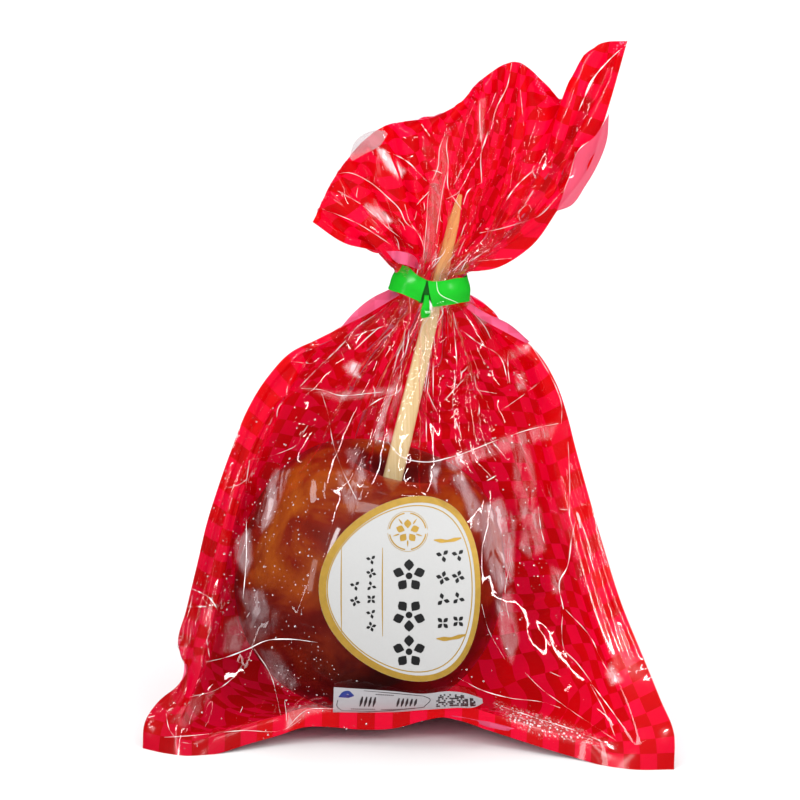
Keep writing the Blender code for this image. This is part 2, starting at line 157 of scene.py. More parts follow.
SHOULDER_CREASES = (
    (0.12, ((-34.5, 104), (-27.5, 103.5), (-24, 104))),
    (0.15, ((-17, 111.5), (-13.5, 112.5), (-9, 114), (-6, 115))),
    (0.15, ((-32, 96), (-25.5, 95.5), (-21, 94), (-12, 94.5), (-2.5, 95.5))),
    (0.25, ((-1.5, 100.5), (-2.5, 95.5), (-9, 92.5), (-16.5, 86.5), (-23, 80))),
    (0.15, ((-26, 95), (-24, 88.5), (-22.5, 80), (-20, 72.5), (-15.5, 63))),
    (0.12, ((-47.5, 74.5), (-42.5, 75.5), (-37.5, 77), (-32.5, 80), (-32, 83.5))),
    (0.18, ((-47.5, 74.5), (-48.5, 68), (-48.5, 57), (-48.5, 44.5), (-49.5, 32.5))),
    (0.2, ((-55, 66), (-51, 67), (-48, 69))),
    (0.22, ((16, 113.5), (20.5, 110), (27.5, 105.5), (30, 97.5))),
    (0.15, ((30, 107), (30, 101), (30.5, 97.5))),
    (0.12, ((13.5, 118.5), (14, 111.5), (14.5, 101), (13.5, 94.5), (13.5, 86.5))),
    (0.2, ((7, 107), (6.5, 102), (5.5, 91.5), (5.5, 80))),
    (0.12, ((7.5, 107), (7.5, 92.5), (7.5, 74.5))),
    (0.15, ((36.5, 109.5), (40.5, 103.5), (44.5, 96), (46, 91.5), (46, 85.5))),
    (0.12, ((39, 97.5), (34.5, 94), (26.5, 88.5))),
    (0.2, ((45, 85.5), (37.5, 84), (28, 81), (13, 75.5), (5.5, 74), (-2.5, 76), (-6, 80))),
    (0.12, ((11, 92.5), (16, 98), (19, 101))),
    (0.12, ((20.5, 95.5), (26.5, 94.5))),
    (0.12, ((-18, 102), (-21, 107.5), (-24, 105), (-32.5, 96.5))),
    (0.12, ((48, 80), (48.5, 68.5), (48.5, 57.5))),
    (0.25, ((50, 55.5), (49, 50.5), (47.5, 42), (45.5, 38.5), (46.5, 30))),
)
FOOT_CREASES = (
    (0.15, ((46.5, 30), (46, 23.5), (47, 17.5), (50, 14.5), (55, 8))),
    (0.2, ((47, 30), (55, 21), (58, 14.5), (60, 11))),
    (0.2, ((55, 7.5), (61, -0.5), (67, -9))),
    (0.12, ((54.5, 7.5), (59, -1), (62.5, -9.5))),
    (0.15, ((15, 9.5), (21.5, 6), (30, 3.5), (41, 2), (45.5, 0.5))),
    (0.15, ((26, 1.5), (39.5, -3), (49, -6), (62.5, -11.5))),
    (0.12, ((35, 11), (39.5, 6.5), (45.5, 2), (62.5, -9.5))),
    (0.12, ((22, 31.5), (24, 24), (29, 15))),
    (0.12, ((30.5, 43.5), (29, 35), (30.5, 25.5))),
    (0.12, ((39, 60.5), (40, 53), (41.5, 47.5))),
    (0.15, ((-22, 0), (-30.5, -0.5), (-36.5, -6))),
    (0.15, ((-73, -8.5), (-65.5, -8), (-50, -6.5), (-36.5, -6), (-32, -3))),
    (0.25, ((-27, 20), (-35.5, 21), (-42.5, 20.5), (-48, 18), (-54.5, 15.5), (-60.5, 14))),
    (0.2, ((-60.5, 21), (-60, 18), (-59.5, 15.5))),
    (0.12, ((-48, 17), (-51, 11), (-57, 6), (-65.5, 3.5))),
    (0.12, ((-46, 18), (-41.5, 11), (-38, -2.5))),
    (0.12, ((-72.5, -1.5), (-71.5, -6), (-68.5, -9.5), (-63, -10.5))),
    (0.35, ((-65, 36), (-59.5, 33), (-57, 29.5))),
    (0.3, ((-66.5, 30.5), (-60.5, 30.5))),
    (0.12, ((-37, 2.5), (-36.5, -1.5), (-36.5, -6))),
)
# Places where the film is whitened, partly by haze of moisture and partly as painted glare and glints where flat facets
# catch the lamps: (whiteness, corners across and up).
HAZE_AND_GLARE_FACETS = (
    (0.5, ((-39.5, 71.5), (-35.5, 71.5), (-41, 56.5), (-44, 53), (-45, 56.5), (-42.5, 65.5))),
    (0.45, ((-51.5, 50.5), (-47.5, 53.5), (-47, 44.5), (-48.5, 40), (-51.5, 44.5))),
    (0.22, ((-50.5, 35.5), (-44, 35.5), (-41, 29), (-44, 26), (-49, 30.5))),
    (0.1, ((-54.5, 26), (-44, 32.5), (-39, 29), (-39.5, 23.5), (-44, 20.5), (-51, 17.5), (-56, 17))),
    (0.12, ((-44, 18), (-39.5, 17.5), (-33, 7.5), (-35.5, 5), (-41.5, 9.5))),
    (0.4, ((-21, 71), (-17, 71.5), (-15, 62.5), (-17, 57.5), (-19, 62.5))),
    (0.25, ((-18.5, 77.5), (-14.5, 78), (-12.5, 69), (-15, 67.5))),
    (0.3, ((-32, 96.5), (-21, 94.5), (-12, 95.5), (-2.5, 96.5), (-2.5, 95), (-12, 93.5), (-21, 92.5))),
    (0.35, ((7, 74.5), (13, 75.5), (28, 81), (37.5, 84), (45, 85.5), (43, 81.5), (33.5, 78.5),
        (21.5, 75), (14, 71.5))),
    (0.5, ((13, 69.5), (16, 70.5), (21.5, 61), (22, 53.5), (20, 53.5), (17, 62.5))),
    (0.45, ((21.5, 60.5), (27.5, 63), (32, 56.5), (31, 38.5), (27.5, 35), (23.5, 44.5), (22, 53.5))),
    (0.22, ((32, 78.5), (36.5, 80.5), (38, 68.5), (37.5, 57.5), (33.5, 56.5), (32, 65.5))),
    (0.25, ((35.5, 59), (39.5, 60.5), (41, 47.5), (36.5, 45.5), (33.5, 49))),
    (0.3, ((43, 42.5), (46, 41), (46, 35), (43.5, 35))),
    (0.3, ((26.5, 32.5), (30.5, 35.5), (33, 20.5), (31, 14), (28, 20.5))),
    (0.3, ((-36.5, -6), (-36, 0), (-27, 1.5), (-22, 0), (-29.5, -1.5))),
    (0.12, ((-66.5, 2.5), (-58, 5.5), (-62.5, -1), (-67, -5.5), (-71, -4))),
    (0.8, ((-19, 102.5), (-17, 104), (-14.5, 103), (-15.5, 101), (-14.5, 99.5), (-17.5, 100.5))),
    (1.6, ((-9.5, 167.5), (-7, 167), (-1, 161), (-2.5, 159), (-6, 162))),
    (1.6, ((-12.5, 151), (-9, 150), (-5, 146), (-6.5, 145.5), (-11, 148.5))),
    (0.18, ((12.5, 174), (9.5, 168), (9, 162.5), (6.5, 156), (5.5, 145), (4.5, 134), (8.5, 134),
        (8.5, 142.5), (10.5, 156), (12, 163.5), (11.5, 168))),
    (0.3, ((21.5, 187), (23, 185.5), (22.5, 170.5), (21.5, 170.5))),
    (0.9, ((59.5, 11), (61, 13.5), (64, 8.5), (61, 7.5))),
    (0.5, ((30.5, 107), (36.5, 109.5), (36, 107), (31, 105))),
    (0.6, ((32.5, 100.5), (34.5, 100.5), (35, 96), (33, 96))),
    (0.3, ((17.5, 121.5), (21, 120.5), (25, 116), (22, 115.5))),
    (0.85, ((7, 72.5), (9.5, 72), (8.5, 68.5), (9, 65), (7, 69))),
    (0.2, ((-3, 99.5), (-2, 95.5), (-5, 86.5), (-11, 80.5), (-8.5, 89.5))),
    (0.35, ((-10, 82.5), (-5.5, 83.5), (-4, 80.5), (-9, 79.5))),
)
# Where fine white dots stand for beads of moisture on the film, whitened as painted sparkle.
MOISTURE_AND_SPARKLE_PATCH = ((26.5, 1.5), (35, -1), (45.5, -4), (61.5, -11), (57.5, -10.5), (39.5, -7.5), (31, -4))
# Edges of the printed film that turn over and show its reverse: (outer edge, inner edge).
TURNED_EDGES = (
    (((-5, 126), (-11, 123), (-16.5, 118.5), (-20, 114.5)), ((-2.5, 124), (-7.5, 121), (-13.5, 117.5), (-20, 114.5))),
    (((-6.5, 137), (-3, 133.5), (-1, 133), (3.5, 131.5)), ((-6.5, 137), (-2.5, 137), (2.5, 135), (3.5, 131.5))),
    (((18.5, 121.5), (23.5, 118.5), (30, 115.5), (36.5, 110)), ((17.5, 120), (22.5, 116.5), (28, 113.5), (35.5, 109.5))),
    (((60, 177), (59.5, 170.5), (57, 163.5), (53, 156.5), (48.5, 150.5), (44.5, 149)),
     ((60, 178), (56, 171.5), (50.5, 166.5), (48.5, 160), (47, 156), (44.5, 149))),
)
CLEAR_CORNER = (
    ((-17.5, 165), (-16, 169.5), (-10.5, 173), (-7, 173)), ((-16.5, 164), (-13, 166), (-8.5, 168.5), (-6, 172)),
)
TIE_CREASE = ((8.5, 128), (9, 125), (15, 121.5))


# ---------------------------------------------------------------- curves and grids

def spline(points, count):
    """Evenly spaced points along a smooth curve through these ones."""
    points = np.array(points, float)
    knots = np.concatenate([[0], np.cumsum(np.linalg.norm(np.diff(points, axis=0), axis=1))])
    slopes = np.gradient(points, knots, axis=0)
    samples = np.linspace(0, knots[-1], 60 * len(points))
    span = np.clip(np.searchsorted(knots, samples, side="right") - 1, 0, len(points) - 2)
    width = np.diff(knots)[span][:, None]
    t = (samples - knots[span])[:, None] / width
    curve = (
        (2 * t**3 - 3 * t**2 + 1) * points[span]
        + (t**3 - 2 * t**2 + t) * width * slopes[span]
        + (3 * t**2 - 2 * t**3) * points[span + 1]
        + (t**3 - t**2) * width * slopes[span + 1]
    )
    run = np.concatenate([[0], np.cumsum(np.linalg.norm(np.diff(curve, axis=0), axis=1))])
    wanted = np.linspace(0, run[-1], count)
    return np.stack([np.interp(wanted, run, curve[:, axis]) for axis in range(points.shape[1])], axis=1)


def coons(bottom, top, left, right, settle=1):
    """The patch that four edge curves bound. The bottom edge's bends fade out upwards, sooner with settle."""
    u = np.linspace(0, 1, len(bottom))[:, None]
    w = np.linspace(0, 1, len(left))[:, None, None]
    share = (1 - w) ** settle
    bends_low = bottom - ((1 - u) * bottom[0] + u * bottom[-1])
    bends_high = top - ((1 - u) * top[0] + u * top[-1])
    return (1 - u) * left[:, None] + u * right[:, None] + share * bends_low + (1 - share) * bends_high


def resampled(grid, rows, columns):
    """The grid of points through another number of rows and columns, by smooth interpolation."""
    for axis, count in ((0, rows), (1, columns)):
        grid = np.moveaxis(grid, axis, 0)
        at = np.linspace(0, len(grid) - 1, count)
        i = np.clip(at.astype(int), 0, len(grid) - 2)
        t = (at - i).reshape(-1, *[1] * (grid.ndim - 1))
        before, after = grid[np.maximum(i - 1, 0)], grid[np.minimum(i + 2, len(grid) - 1)]
        a, b = grid[i], grid[i + 1]
        grid = a + 0.5 * t * (b - before + t * (2 * before - 5 * a + 4 * b - after + t * (3 * (a - b) + after - before)))
        grid = np.moveaxis(grid, 0, axis)
    return grid


def leaned(offset, lean):
    c, s = math.cos(lean), math.sin(lean)
    turn = np.array([[c, 0, s], [0, 1, 0], [-s, 0, c]])
    return offset @ turn.T


SKIN = spline(APPLE_PROFILE, 200)
SKIN_ANGLE = np.arctan2(SKIN[:, 0], SKIN[:, 1])
SKIN_REACH = np.hypot(SKIN[:, 0], SKIN[:, 1])


def apple_reach(offset):
    """How far the apple's skin is from its centre in the direction of these offsets."""
    local = leaned(offset, -APPLE_LEAN)
    return np.interp(np.arctan2(np.hypot(local[..., 0], local[..., 1]), local[..., 2]), SKIN_ANGLE, SKIN_REACH)


def clear_of_apple(points, standoff):
    """Pushes points straight out from the apple's centre until they stand off its skin."""
    offset = points - APPLE_CENTRE
    distance = np.linalg.norm(offset, axis=-1)
    grown = np.maximum((apple_reach(offset) + standoff) / np.maximum(distance, 1e-6), 1)
    return APPLE_CENTRE + offset * grown[..., None]


# ---------------------------------------------------------------- the film

def swell(columns):
    u = np.linspace(0, 1, columns)
    inside = np.clip((u - SEAL_SHARE) / (1 - 2 * SEAL_SHARE), 0, 1)
    return np.sin(math.pi * inside) ** FULLNESS


def smooth_film(spacing):
    """The bag's two panels without wrinkles, front then back, as an array of rows of points. Also says which
    row the ribbon is at."""
    columns = round(FILM_WIDTH / spacing) + 1
    body_rows = round(BODY_HEIGHT / spacing)
    flare_rows = round(FLARE_HEIGHT / spacing) + 1
    neck_low = np.linspace(LEFT_SEAM[-1], RIGHT_SEAM[-1], columns)
    neck_high = np.linspace(FLARE_LEFT[0], FLARE_RIGHT[0], columns)
    body = coons(
        spline(BOTTOM_EDGE, columns), neck_low, spline(LEFT_SEAM, body_rows), spline(RIGHT_SEAM, body_rows), 5
    )
    body[..., 2] = np.maximum(body[..., 2], 0)
    flare = coons(
        neck_high, spline(MOUTH_EDGE, columns), spline(FLARE_LEFT, flare_rows), spline(FLARE_RIGHT, flare_rows)
    )
    bulge = swell(columns)
    rise = np.linspace(0, 1, flare_rows)[:, None]
    panels = []
    for side, middle in ((-1, FRONT_MIDDLE), (1, BACK_MIDDLE)):
        line = spline(middle, body_rows)
        out = body + bulge[None, :, None] * (line - body[:, columns // 2])[:, None]
        spread = flare.copy()
        spread[..., 1] += side * NECK_HALF_DEPTH * bulge[None] * (1 - rise)
        whole = np.concatenate([out, spread]) + SHIFT
        whole = clear_of_apple(whole, 1.0)
        whole[..., 1] += side * 0.15
        panels.append(whole)
    return np.array(panels), body_rows


def eased(value, low, high):
    """0 below low and 1 above high, with a smooth step between."""
    t = np.clip((value - low) / (high - low), 0, 1)
    return t * t * (3 - 2 * t)


def normals_of(panels):
    """Unit normals at the points of grids, out of the front panel and into the back one."""
    along = np.gradient(panels, axis=-2)
    up = np.gradient(panels, axis=-3)
    normal = np.cross(along, up)
    return normal / np.maximum(np.linalg.norm(normal, axis=-1, keepdims=True), 1e-9)


def flat_width(panels):
    """The flat length of each stretch between neighbours in a row: the film's own width near the neck and
    above it, and little more than the smooth surface has lower down."""
    spans = np.linalg.norm(np.diff(panels, axis=2), axis=-1)
    surface = spans.sum(axis=2, keepdims=True)
    height = panels[..., 2].mean(axis=2, keepdims=True)
    loose = eased(height, 58, 104)
    wanted = np.maximum((1 - loose) * surface * SLACK + loose * FILM_WIDTH, surface * SLACK)
    even = wanted / spans.shape[2]
    return np.broadcast_to(even, spans.shape)[..., None].copy()


def pleated(panels, widths, draw):
    """Folds the spare width of each row into pleats that run down from the neck and up from it."""
    columns = panels.shape[2]
    surface = np.linalg.norm(np.diff(panels, axis=2), axis=-1).sum(axis=2)
    spare = np.sqrt(np.maximum(widths.sum(axis=(2, 3)) ** 2 - surface**2, 0))
    normal = normals_of(panels)
    out = panels.copy()
    for side in range(2):
        steps = draw.uniform(0.35, 1.9, PLEATS[side])
        edges = np.concatenate([[0], np.cumsum(steps)])
        edges /= edges[-1]
        phase = np.interp(np.linspace(0, 1, columns), edges, np.arange(len(edges)))
        size = np.interp(np.linspace(0, 1, columns), edges, draw.uniform(0.7, 1.3, len(edges)))
        wave = 2 * np.abs(2 * (phase % 1) - 1) - 1
        height = spare[side][:, None] / (4 * PLEATS[side]) * size * wave
        height *= eased(np.linspace(0, 1, columns), 0, 0.03) * eased(np.linspace(1, 0, columns), 0, 0.03)
        out[side] += height[..., None] * normal[side]
    return out


class Sheets:
    """Both panels as points joined by links of fixed length."""

    def __init__(self, points, pinned, widths, heights):
        self.points = points
        self.loose = 1.0 - pinned[..., None]
        self.width = widths
        self.height = heights
        w = 0.25 * (widths[:, :-1] + widths[:, 1:]) ** 2
        h = 0.25 * (heights[:, :, :-1] + heights[:, :, 1:]) ** 2
        self.slant = np.sqrt(w + h)

    def pull(self, here, there, rest, give, shorter):
        p, loose = self.points, self.loose
        way = p[there] - p[here]
        length = np.sqrt(np.einsum("...i,...i->...", way, way))[..., None]
        weight = loose[here] + loose[there]
        share = (1 - rest / np.maximum(length, 1e-6)) / np.maximum(weight, 1e-6)
        share *= np.where(share > 0, give, shorter)
        way *= share
        p[here] += loose[here] * way
        p[there] -= loose[there] * way

    def pull_all(self, shorter):
        every = slice(None)
        rows, columns = self.points.shape[1:3]
        for odd in (0, 1):
            a, b = slice(odd, columns - 1, 2), slice(odd + 1, columns, 2)
            self.pull((every, every, a), (every, every, b), self.width[:, :, a], 1.0, shorter)
            a, b = slice(odd, rows - 1, 2), slice(odd + 1, rows, 2)
            self.pull((every, a), (every, b), self.height[:, a], 1.0, shorter)
        for odd in (0, 1):
            a, b = slice(odd, rows - 1, 2), slice(odd + 1, rows, 2)
            rest = self.slant[:, a]
            self.pull((every, a, slice(0, -1)), (every, b, slice(1, None)), rest, SHEAR, SHEAR * shorter)
            self.pull((every, a, slice(1, None)), (every, b, slice(0, -1)), rest, SHEAR, SHEAR * shorter)

    def stiffen(self, amount):
        """Evens out bends: each point moves towards the middle of its neighbours."""
        p, loose = self.points, self.loose
        for axis in (1, 2):
            q = np.moveaxis(p, axis, 0)
            free = np.moveaxis(loose, axis, 0)
            q[1:-1] += amount * free[1:-1] * (0.5 * (q[:-2] + q[2:]) - q[1:-1])


def sealed(rows, columns):
    """Which points lie where the two panels are sealed together."""
    across = np.linspace(0, FILM_WIDTH, columns)[None]
    up = np.linspace(0, BODY_HEIGHT + FLARE_HEIGHT, rows)[:, None]
    return (across < SEALS[0]) | (across > FILM_WIDTH - SEALS[1]) | (up < SEALS[2])


def pinned_edges(shape):
    pinned = np.zeros(shape)
    spacing = FILM_WIDTH / (shape[2] - 1)
    pinned[:, : math.ceil(SEALS[2] / spacing) + 1] = 1
    pinned[:, -1] = 1
    pinned[:, :, 0] = pinned[:, :, -1] = 1
    return pinned


def keep_out(points, neck_row, seal):
    """Keeps the film outside the apple and the stick, inside the ribbon, over the floor, and front before back."""
    body = points[:, : neck_row + 2]
    near = np.linalg.norm(body - APPLE_CENTRE, axis=-1) < 46
    body[near] = clear_of_apple(body[near], FILM_STANDOFF)
    low = slice(neck_row * 5 // 8, neck_row * 11 // 8)
    neck = points[:, low]
    away = np.abs(neck[..., 2] - NECK_CENTRE[2])
    room = NECK_HALF + 1.5 * np.maximum(away - 3.5, 0)[..., None]
    offset = neck[..., :2] - NECK_CENTRE[:2]
    over = np.sqrt(((offset / room) ** 2).sum(-1, keepdims=True))
    neck[..., :2] = NECK_CENTRE[:2] + offset / np.maximum(over, 1)
    keep_off_stick(points[:, neck_row // 2 :])
    between = points[1, 1:-1, 1:-1, 1] - points[0, 1:-1, 1:-1, 1]
    overlap = np.maximum(PANEL_GAP - between, 0) / 2
    points[0, 1:-1, 1:-1, 1] -= overlap
    points[1, 1:-1, 1:-1, 1] += overlap
    low_rows = points[1, : round(points.shape[1] * UNDERSIDE_SHARE)]
    least = low_rows[:1, :, 2] - (low_rows[..., 1] - low_rows[:1, :, 1]) * UNDERSIDE_SLOPE + 0.3
    raised = np.maximum(low_rows[..., 2], least)
    low_rows[..., 2] = np.where(low_rows[..., 1] > low_rows[:1, :, 1], raised, low_rows[..., 2])
    middle = points[:, seal].mean(axis=0)
    points[0, seal] = middle - SEAL_HALF
    points[1, seal] = middle + SEAL_HALF
    np.maximum(points[..., 2], FLOOR_GAP, out=points[..., 2])


def keep_off_stick(points):
    axis = STICK_TIP - STICK_FOOT
    long = np.linalg.norm(axis)
    axis = axis / long
    offset = points - STICK_FOOT
    along = offset @ axis
    share = np.clip(along / long, 0, 1)
    radial = offset - (share * long)[..., None] * axis
    radius = np.interp(share, [s[0] for s in STICK_SECTIONS], [s[1] / 2 for s in STICK_SECTIONS]) + 0.4
    distance = np.linalg.norm(radial, axis=-1)
    inside = distance < radius
    for side, sign in ((0, -1), (1, 1)):
        hit = inside[side]
        way = radial[side][hit]
        way[:, 1] = sign * np.maximum(np.abs(way[:, 1]), 0.3)
        way /= np.linalg.norm(way, axis=-1, keepdims=True)
        centre = points[side][hit] - radial[side][hit]
        points[side][hit] = centre + way * radius[side][hit][:, None]


def relax(sheets, neck_row, rounds, stiff_from, stiff_to, pressure):
    seal = sealed(*sheets.points.shape[1:3])
    for i in range(rounds):
        share = i / max(rounds - 1, 1)
        if pressure and i % 4 == 0:
            push = normals_of(sheets.points[:, :neck_row]) * pressure * (1 - share)
            push[1] *= -1
            sheets.points[:, :neck_row] += push * sheets.loose[:, :neck_row]
        sheets.stiffen(stiff_from + (stiff_to - stiff_from) * share)
        sheets.pull_all(0.6)
        sheets.pull_all(0.6)
        keep_out(sheets.points, neck_row, seal)
        restore(sheets)


def restore(sheets):
    held = sheets.loose[..., 0] == 0
    sheets.points[held] = sheets.anchor[held]


def relaxed_film():
    """The bag's panels with their folds, front then back, and how far across and up the flat film each point is."""
    draw = np.random.default_rng(11)
    base, neck_row = smooth_film(COARSE)
    widths = flat_width(base)
    heights = np.linalg.norm(np.diff(base, axis=1), axis=-1)[..., None] * SLACK
    points = pleated(base, widths, draw)
    points += draw.normal(0, 0.12, points.shape)
    sheets = Sheets(points, pinned_edges(points.shape[:3]), widths, heights)
    sheets.anchor = base
    held = sheets.loose[..., 0] == 0
    points[held] = base[held]
    relax(sheets, neck_row, COARSE_ROUNDS, 0.10, 0.03, 0.10)
    rows, columns = points.shape[1:3]
    fine_rows, fine_columns = 2 * rows - 1, 2 * columns - 1
    fine = np.array([resampled(panel, fine_rows, fine_columns) for panel in sheets.points])
    widths = np.array([resampled(w, fine_rows, fine_columns - 1) for w in widths]) / 2
    heights = np.array([resampled(h, fine_rows - 1, fine_columns) for h in heights]) / 2
    fine += draw.normal(0, 0.05, fine.shape)
    finer = Sheets(fine, pinned_edges(fine.shape[:3]), widths, heights)
    finer.anchor = np.array([resampled(panel, fine_rows, fine_columns) for panel in base])
    relax(finer, 2 * neck_row, FINE_ROUNDS, 0.04, 0.01, 0.0)
    finer.smooth = finer.anchor
    return finer



def flat_places(columns, rows, heights):
    """How far across and up the flat film each point lies."""
    across = np.broadcast_to(np.linspace(0, FILM_WIDTH, columns), (rows, columns))
    up = np.concatenate([np.zeros((1, columns)), np.cumsum(heights[..., 0], axis=0)])
    return np.stack([across, up], axis=-1)


def seamed_places(plane):
    """Where on the flat sheet the print puts points of the leaning plane: square to the seam on either side,
    with the gathered width taken up between."""
    rows, columns = plane.shape[:2]
    across, up = np.gradient(plane, axis=1), np.gradient(plane, axis=0)
    step = np.linalg.norm(across, axis=-1)
    slant = np.einsum("ijk,ijk->ij", across, up) / np.maximum(step * np.linalg.norm(up, axis=-1), 1e-9)
    seam = np.linalg.norm(np.diff(plane[:, [0, -1]], axis=0), axis=-1)
    seam = np.concatenate([np.zeros((1, 2)), np.cumsum(seam, axis=0)])
    slant = np.clip(slant, -0.8, 0.8) * eased(seam.mean(axis=1), 4, 24)[:, None]
    wide = np.cumsum(step * np.sqrt(1 - slant**2), axis=1)
    climb = np.cumsum(step * slant, axis=1)
    wide, climb = wide - wide[:, :1], climb - climb[:, :1]
    left = np.stack([wide, seam[:, :1] + climb], axis=-1)
    right = np.stack([FILM_WIDTH - wide[:, -1:] + wide, seam[:, 1:] - climb[:, -1:] + climb], axis=-1)
    share = eased(np.linspace(0, 1, columns), 0.3, 0.7)[:, None]
    return (1 - share) * left + share * right


def facets(draw, flat, spacing, height):
    """Heights of a crumpled sheet of flat triangles with sharp edges between them, over these flat places."""
    size = flat.reshape(-1, 2).max(axis=0) + 2 * spacing
    counts = np.ceil(size / spacing).astype(int) + 1
    corners = np.stack(np.meshgrid(*[np.arange(n) * spacing - spacing for n in counts], indexing="ij"), axis=-1)
    corners = corners.reshape(-1, 2) + draw.uniform(-0.42, 0.42, (counts.prod(), 2)) * spacing
    lift = draw.normal(0, height, len(corners))
    made = delaunay_2d_cdt([Vector(p) for p in corners], [], [], 0, 1e-6)
    origin = [ids[0] for ids in made[3]]
    tree = BVHTree.FromPolygons([(p.x, p.y, lift[i]) for p, i in zip(made[0], origin)], made[2])
    out = np.zeros(flat.shape[:2])
    down = Vector((0, 0, -1))
    for row in range(out.shape[0]):
        for column in range(out.shape[1]):
            hit = tree.ray_cast((flat[row, column, 0], flat[row, column, 1], 50.0), down)[0]
            out[row, column] = hit.z if hit else 0.0
    return out


def film_normals(grid):
    normal = np.cross(np.gradient(grid, axis=1), np.gradient(grid, axis=0))
    return normal / np.maximum(np.linalg.norm(normal, axis=-1, keepdims=True), 1e-9)


# ---------------------------------------------------------------- meshes

SHARP = math.radians(55)


def mesh_piece(name, points, faces, surfaces, slot, face_slots=None):
    """A smooth mesh of these points, riding on the part's one body."""
    mesh = bpy.data.meshes.new(name)
    mesh.from_pydata((np.asarray(points) * MM).tolist(), [], faces)
    mesh.shade_smooth()
    mesh.set_sharp_from_angle(angle=SHARP)
    for surface in surfaces:
        mesh.materials.append(surface)
    if face_slots is not None:
        mesh.polygons.foreach_set("material_index", face_slots)
    piece = bpy.data.objects.new(name, mesh)
    bpy.context.scene.collection.objects.link(piece)
    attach(piece, "root")
    return piece




def grid_faces(rows, columns, start=0, turned=False):
    at = start + np.arange(rows * columns).reshape(rows, columns)
    corners = [at[:-1, :-1], at[:-1, 1:], at[1:, 1:], at[1:, :-1]]
    return np.stack(corners[::-1] if turned else corners, axis=-1).reshape(-1, 4).tolist()


def rim_faces(rows, columns):
    """Faces that join the rims of two equal grids, the second stored after the first."""
    rim = [c for c in range(columns)] + [r * columns + columns - 1 for r in range(1, rows)]
    rim += [(rows - 1) * columns + c for c in range(columns - 2, -1, -1)]
    rim += [r * columns for r in range(rows - 2, 0, -1)]
    other = rows * columns
    return [(b, a, a + other, b + other) for a, b in zip(rim, rim[1:] + rim[:1])]


def add_map(piece, places, name="flat"):
    """A UV map from one place for each point."""
    layer = piece.data.uv_layers.new(name=name)
    corner = np.empty(len(piece.data.loops), np.int32)
    piece.data.loops.foreach_get("vertex_index", corner)
    layer.data.foreach_set("uv", np.asarray(places, np.float32)[corner].ravel())


def add_values(piece, name, values):
    layer = piece.data.attributes.new(name, "FLOAT", "POINT")
    layer.data.foreach_set("value", np.asarray(values, np.float32).ravel())


# ---------------------------------------------------------------- materials

class Nodes:
    """A new material's node tree, with short ways to add to it."""

    def __init__(self, name):
        self.material = bpy.data.materials.new(name)
        self.material.use_nodes = True
        self.tree = self.material.node_tree
        self.shader = self.tree.nodes["Principled BSDF"]
        self.output = self.tree.nodes["Material Output"]

    def add(self, kind, **settings):
        node = self.tree.nodes.new("ShaderNode" + kind)
        for key, value in settings.items():
            if hasattr(node, key):
                setattr(node, key, value)
            else:
                node.inputs[key.replace("_", " ")].default_value = value
        return node

    def link(self, source, target):
        self.tree.links.new(source, target)

    def set(self, **values):
        for key, value in values.items():
            self.shader.inputs[key.replace("_", " ")].default_value = value

    def math(self, operation, first, second):
        node = self.add("Math", operation=operation)
        for socket, value in zip(node.inputs, (first, second)):
            if isinstance(value, (int, float)):
                socket.default_value = value
            else:
                self.link(value, socket)
        return node.outputs[0]

    def noise(self, place, scale, detail=2.0, roughness=0.5, distortion=0.0):
        node = self.add("TexNoise", Scale=scale, Detail=detail, Roughness=roughness, Distortion=distortion)
        self.link(place, node.inputs["Vector"])
        return node.outputs["Fac"]

    def place(self, stretch=(1, 1, 1), source="Object"):
        """Object coordinates in millimetres, scaled."""
        at = self.add("TexCoord").outputs[source]
        scaled = self.add("Mapping", vector_type="POINT")
        scaled.inputs["Scale"].default_value = [s / MM for s in stretch] if source == "Object" else stretch
        self.link(at, scaled.inputs["Vector"])
        return scaled.outputs[0]

    def ramp(self, value, *stops):
        """Colours, or greys for stops that are numbers, along a value."""
        node = self.add("ValToRGB")
        elements = node.color_ramp.elements
        while len(elements) < len(stops):
            elements.new(0.5)
        for element, (at, colour) in zip(elements, stops):
            element.position = at
            element.color = (colour,) * 3 + (1,) if isinstance(colour, (int, float)) else (*colour, 1)
        self.link(value, node.inputs["Fac"])
        return node.outputs["Color"]

    def mix(self, share, first, second, blend="MIX"):
        node = self.add("Mix", data_type="RGBA", blend_type=blend)
        for socket, value in ((node.inputs[0], share), (node.inputs[6], first), (node.inputs[7], second)):
            if isinstance(value, tuple):
                socket.default_value = (*value, 1)
            elif isinstance(value, (int, float)):
                socket.default_value = value
            else:
                self.link(value, socket)
        return node.outputs[2]

    def bump(self, height, distance, strength=1.0):
        node = self.add("Bump", Strength=strength, Distance=distance * MM)
        self.link(height, node.inputs["Height"])
        return node.outputs[0]


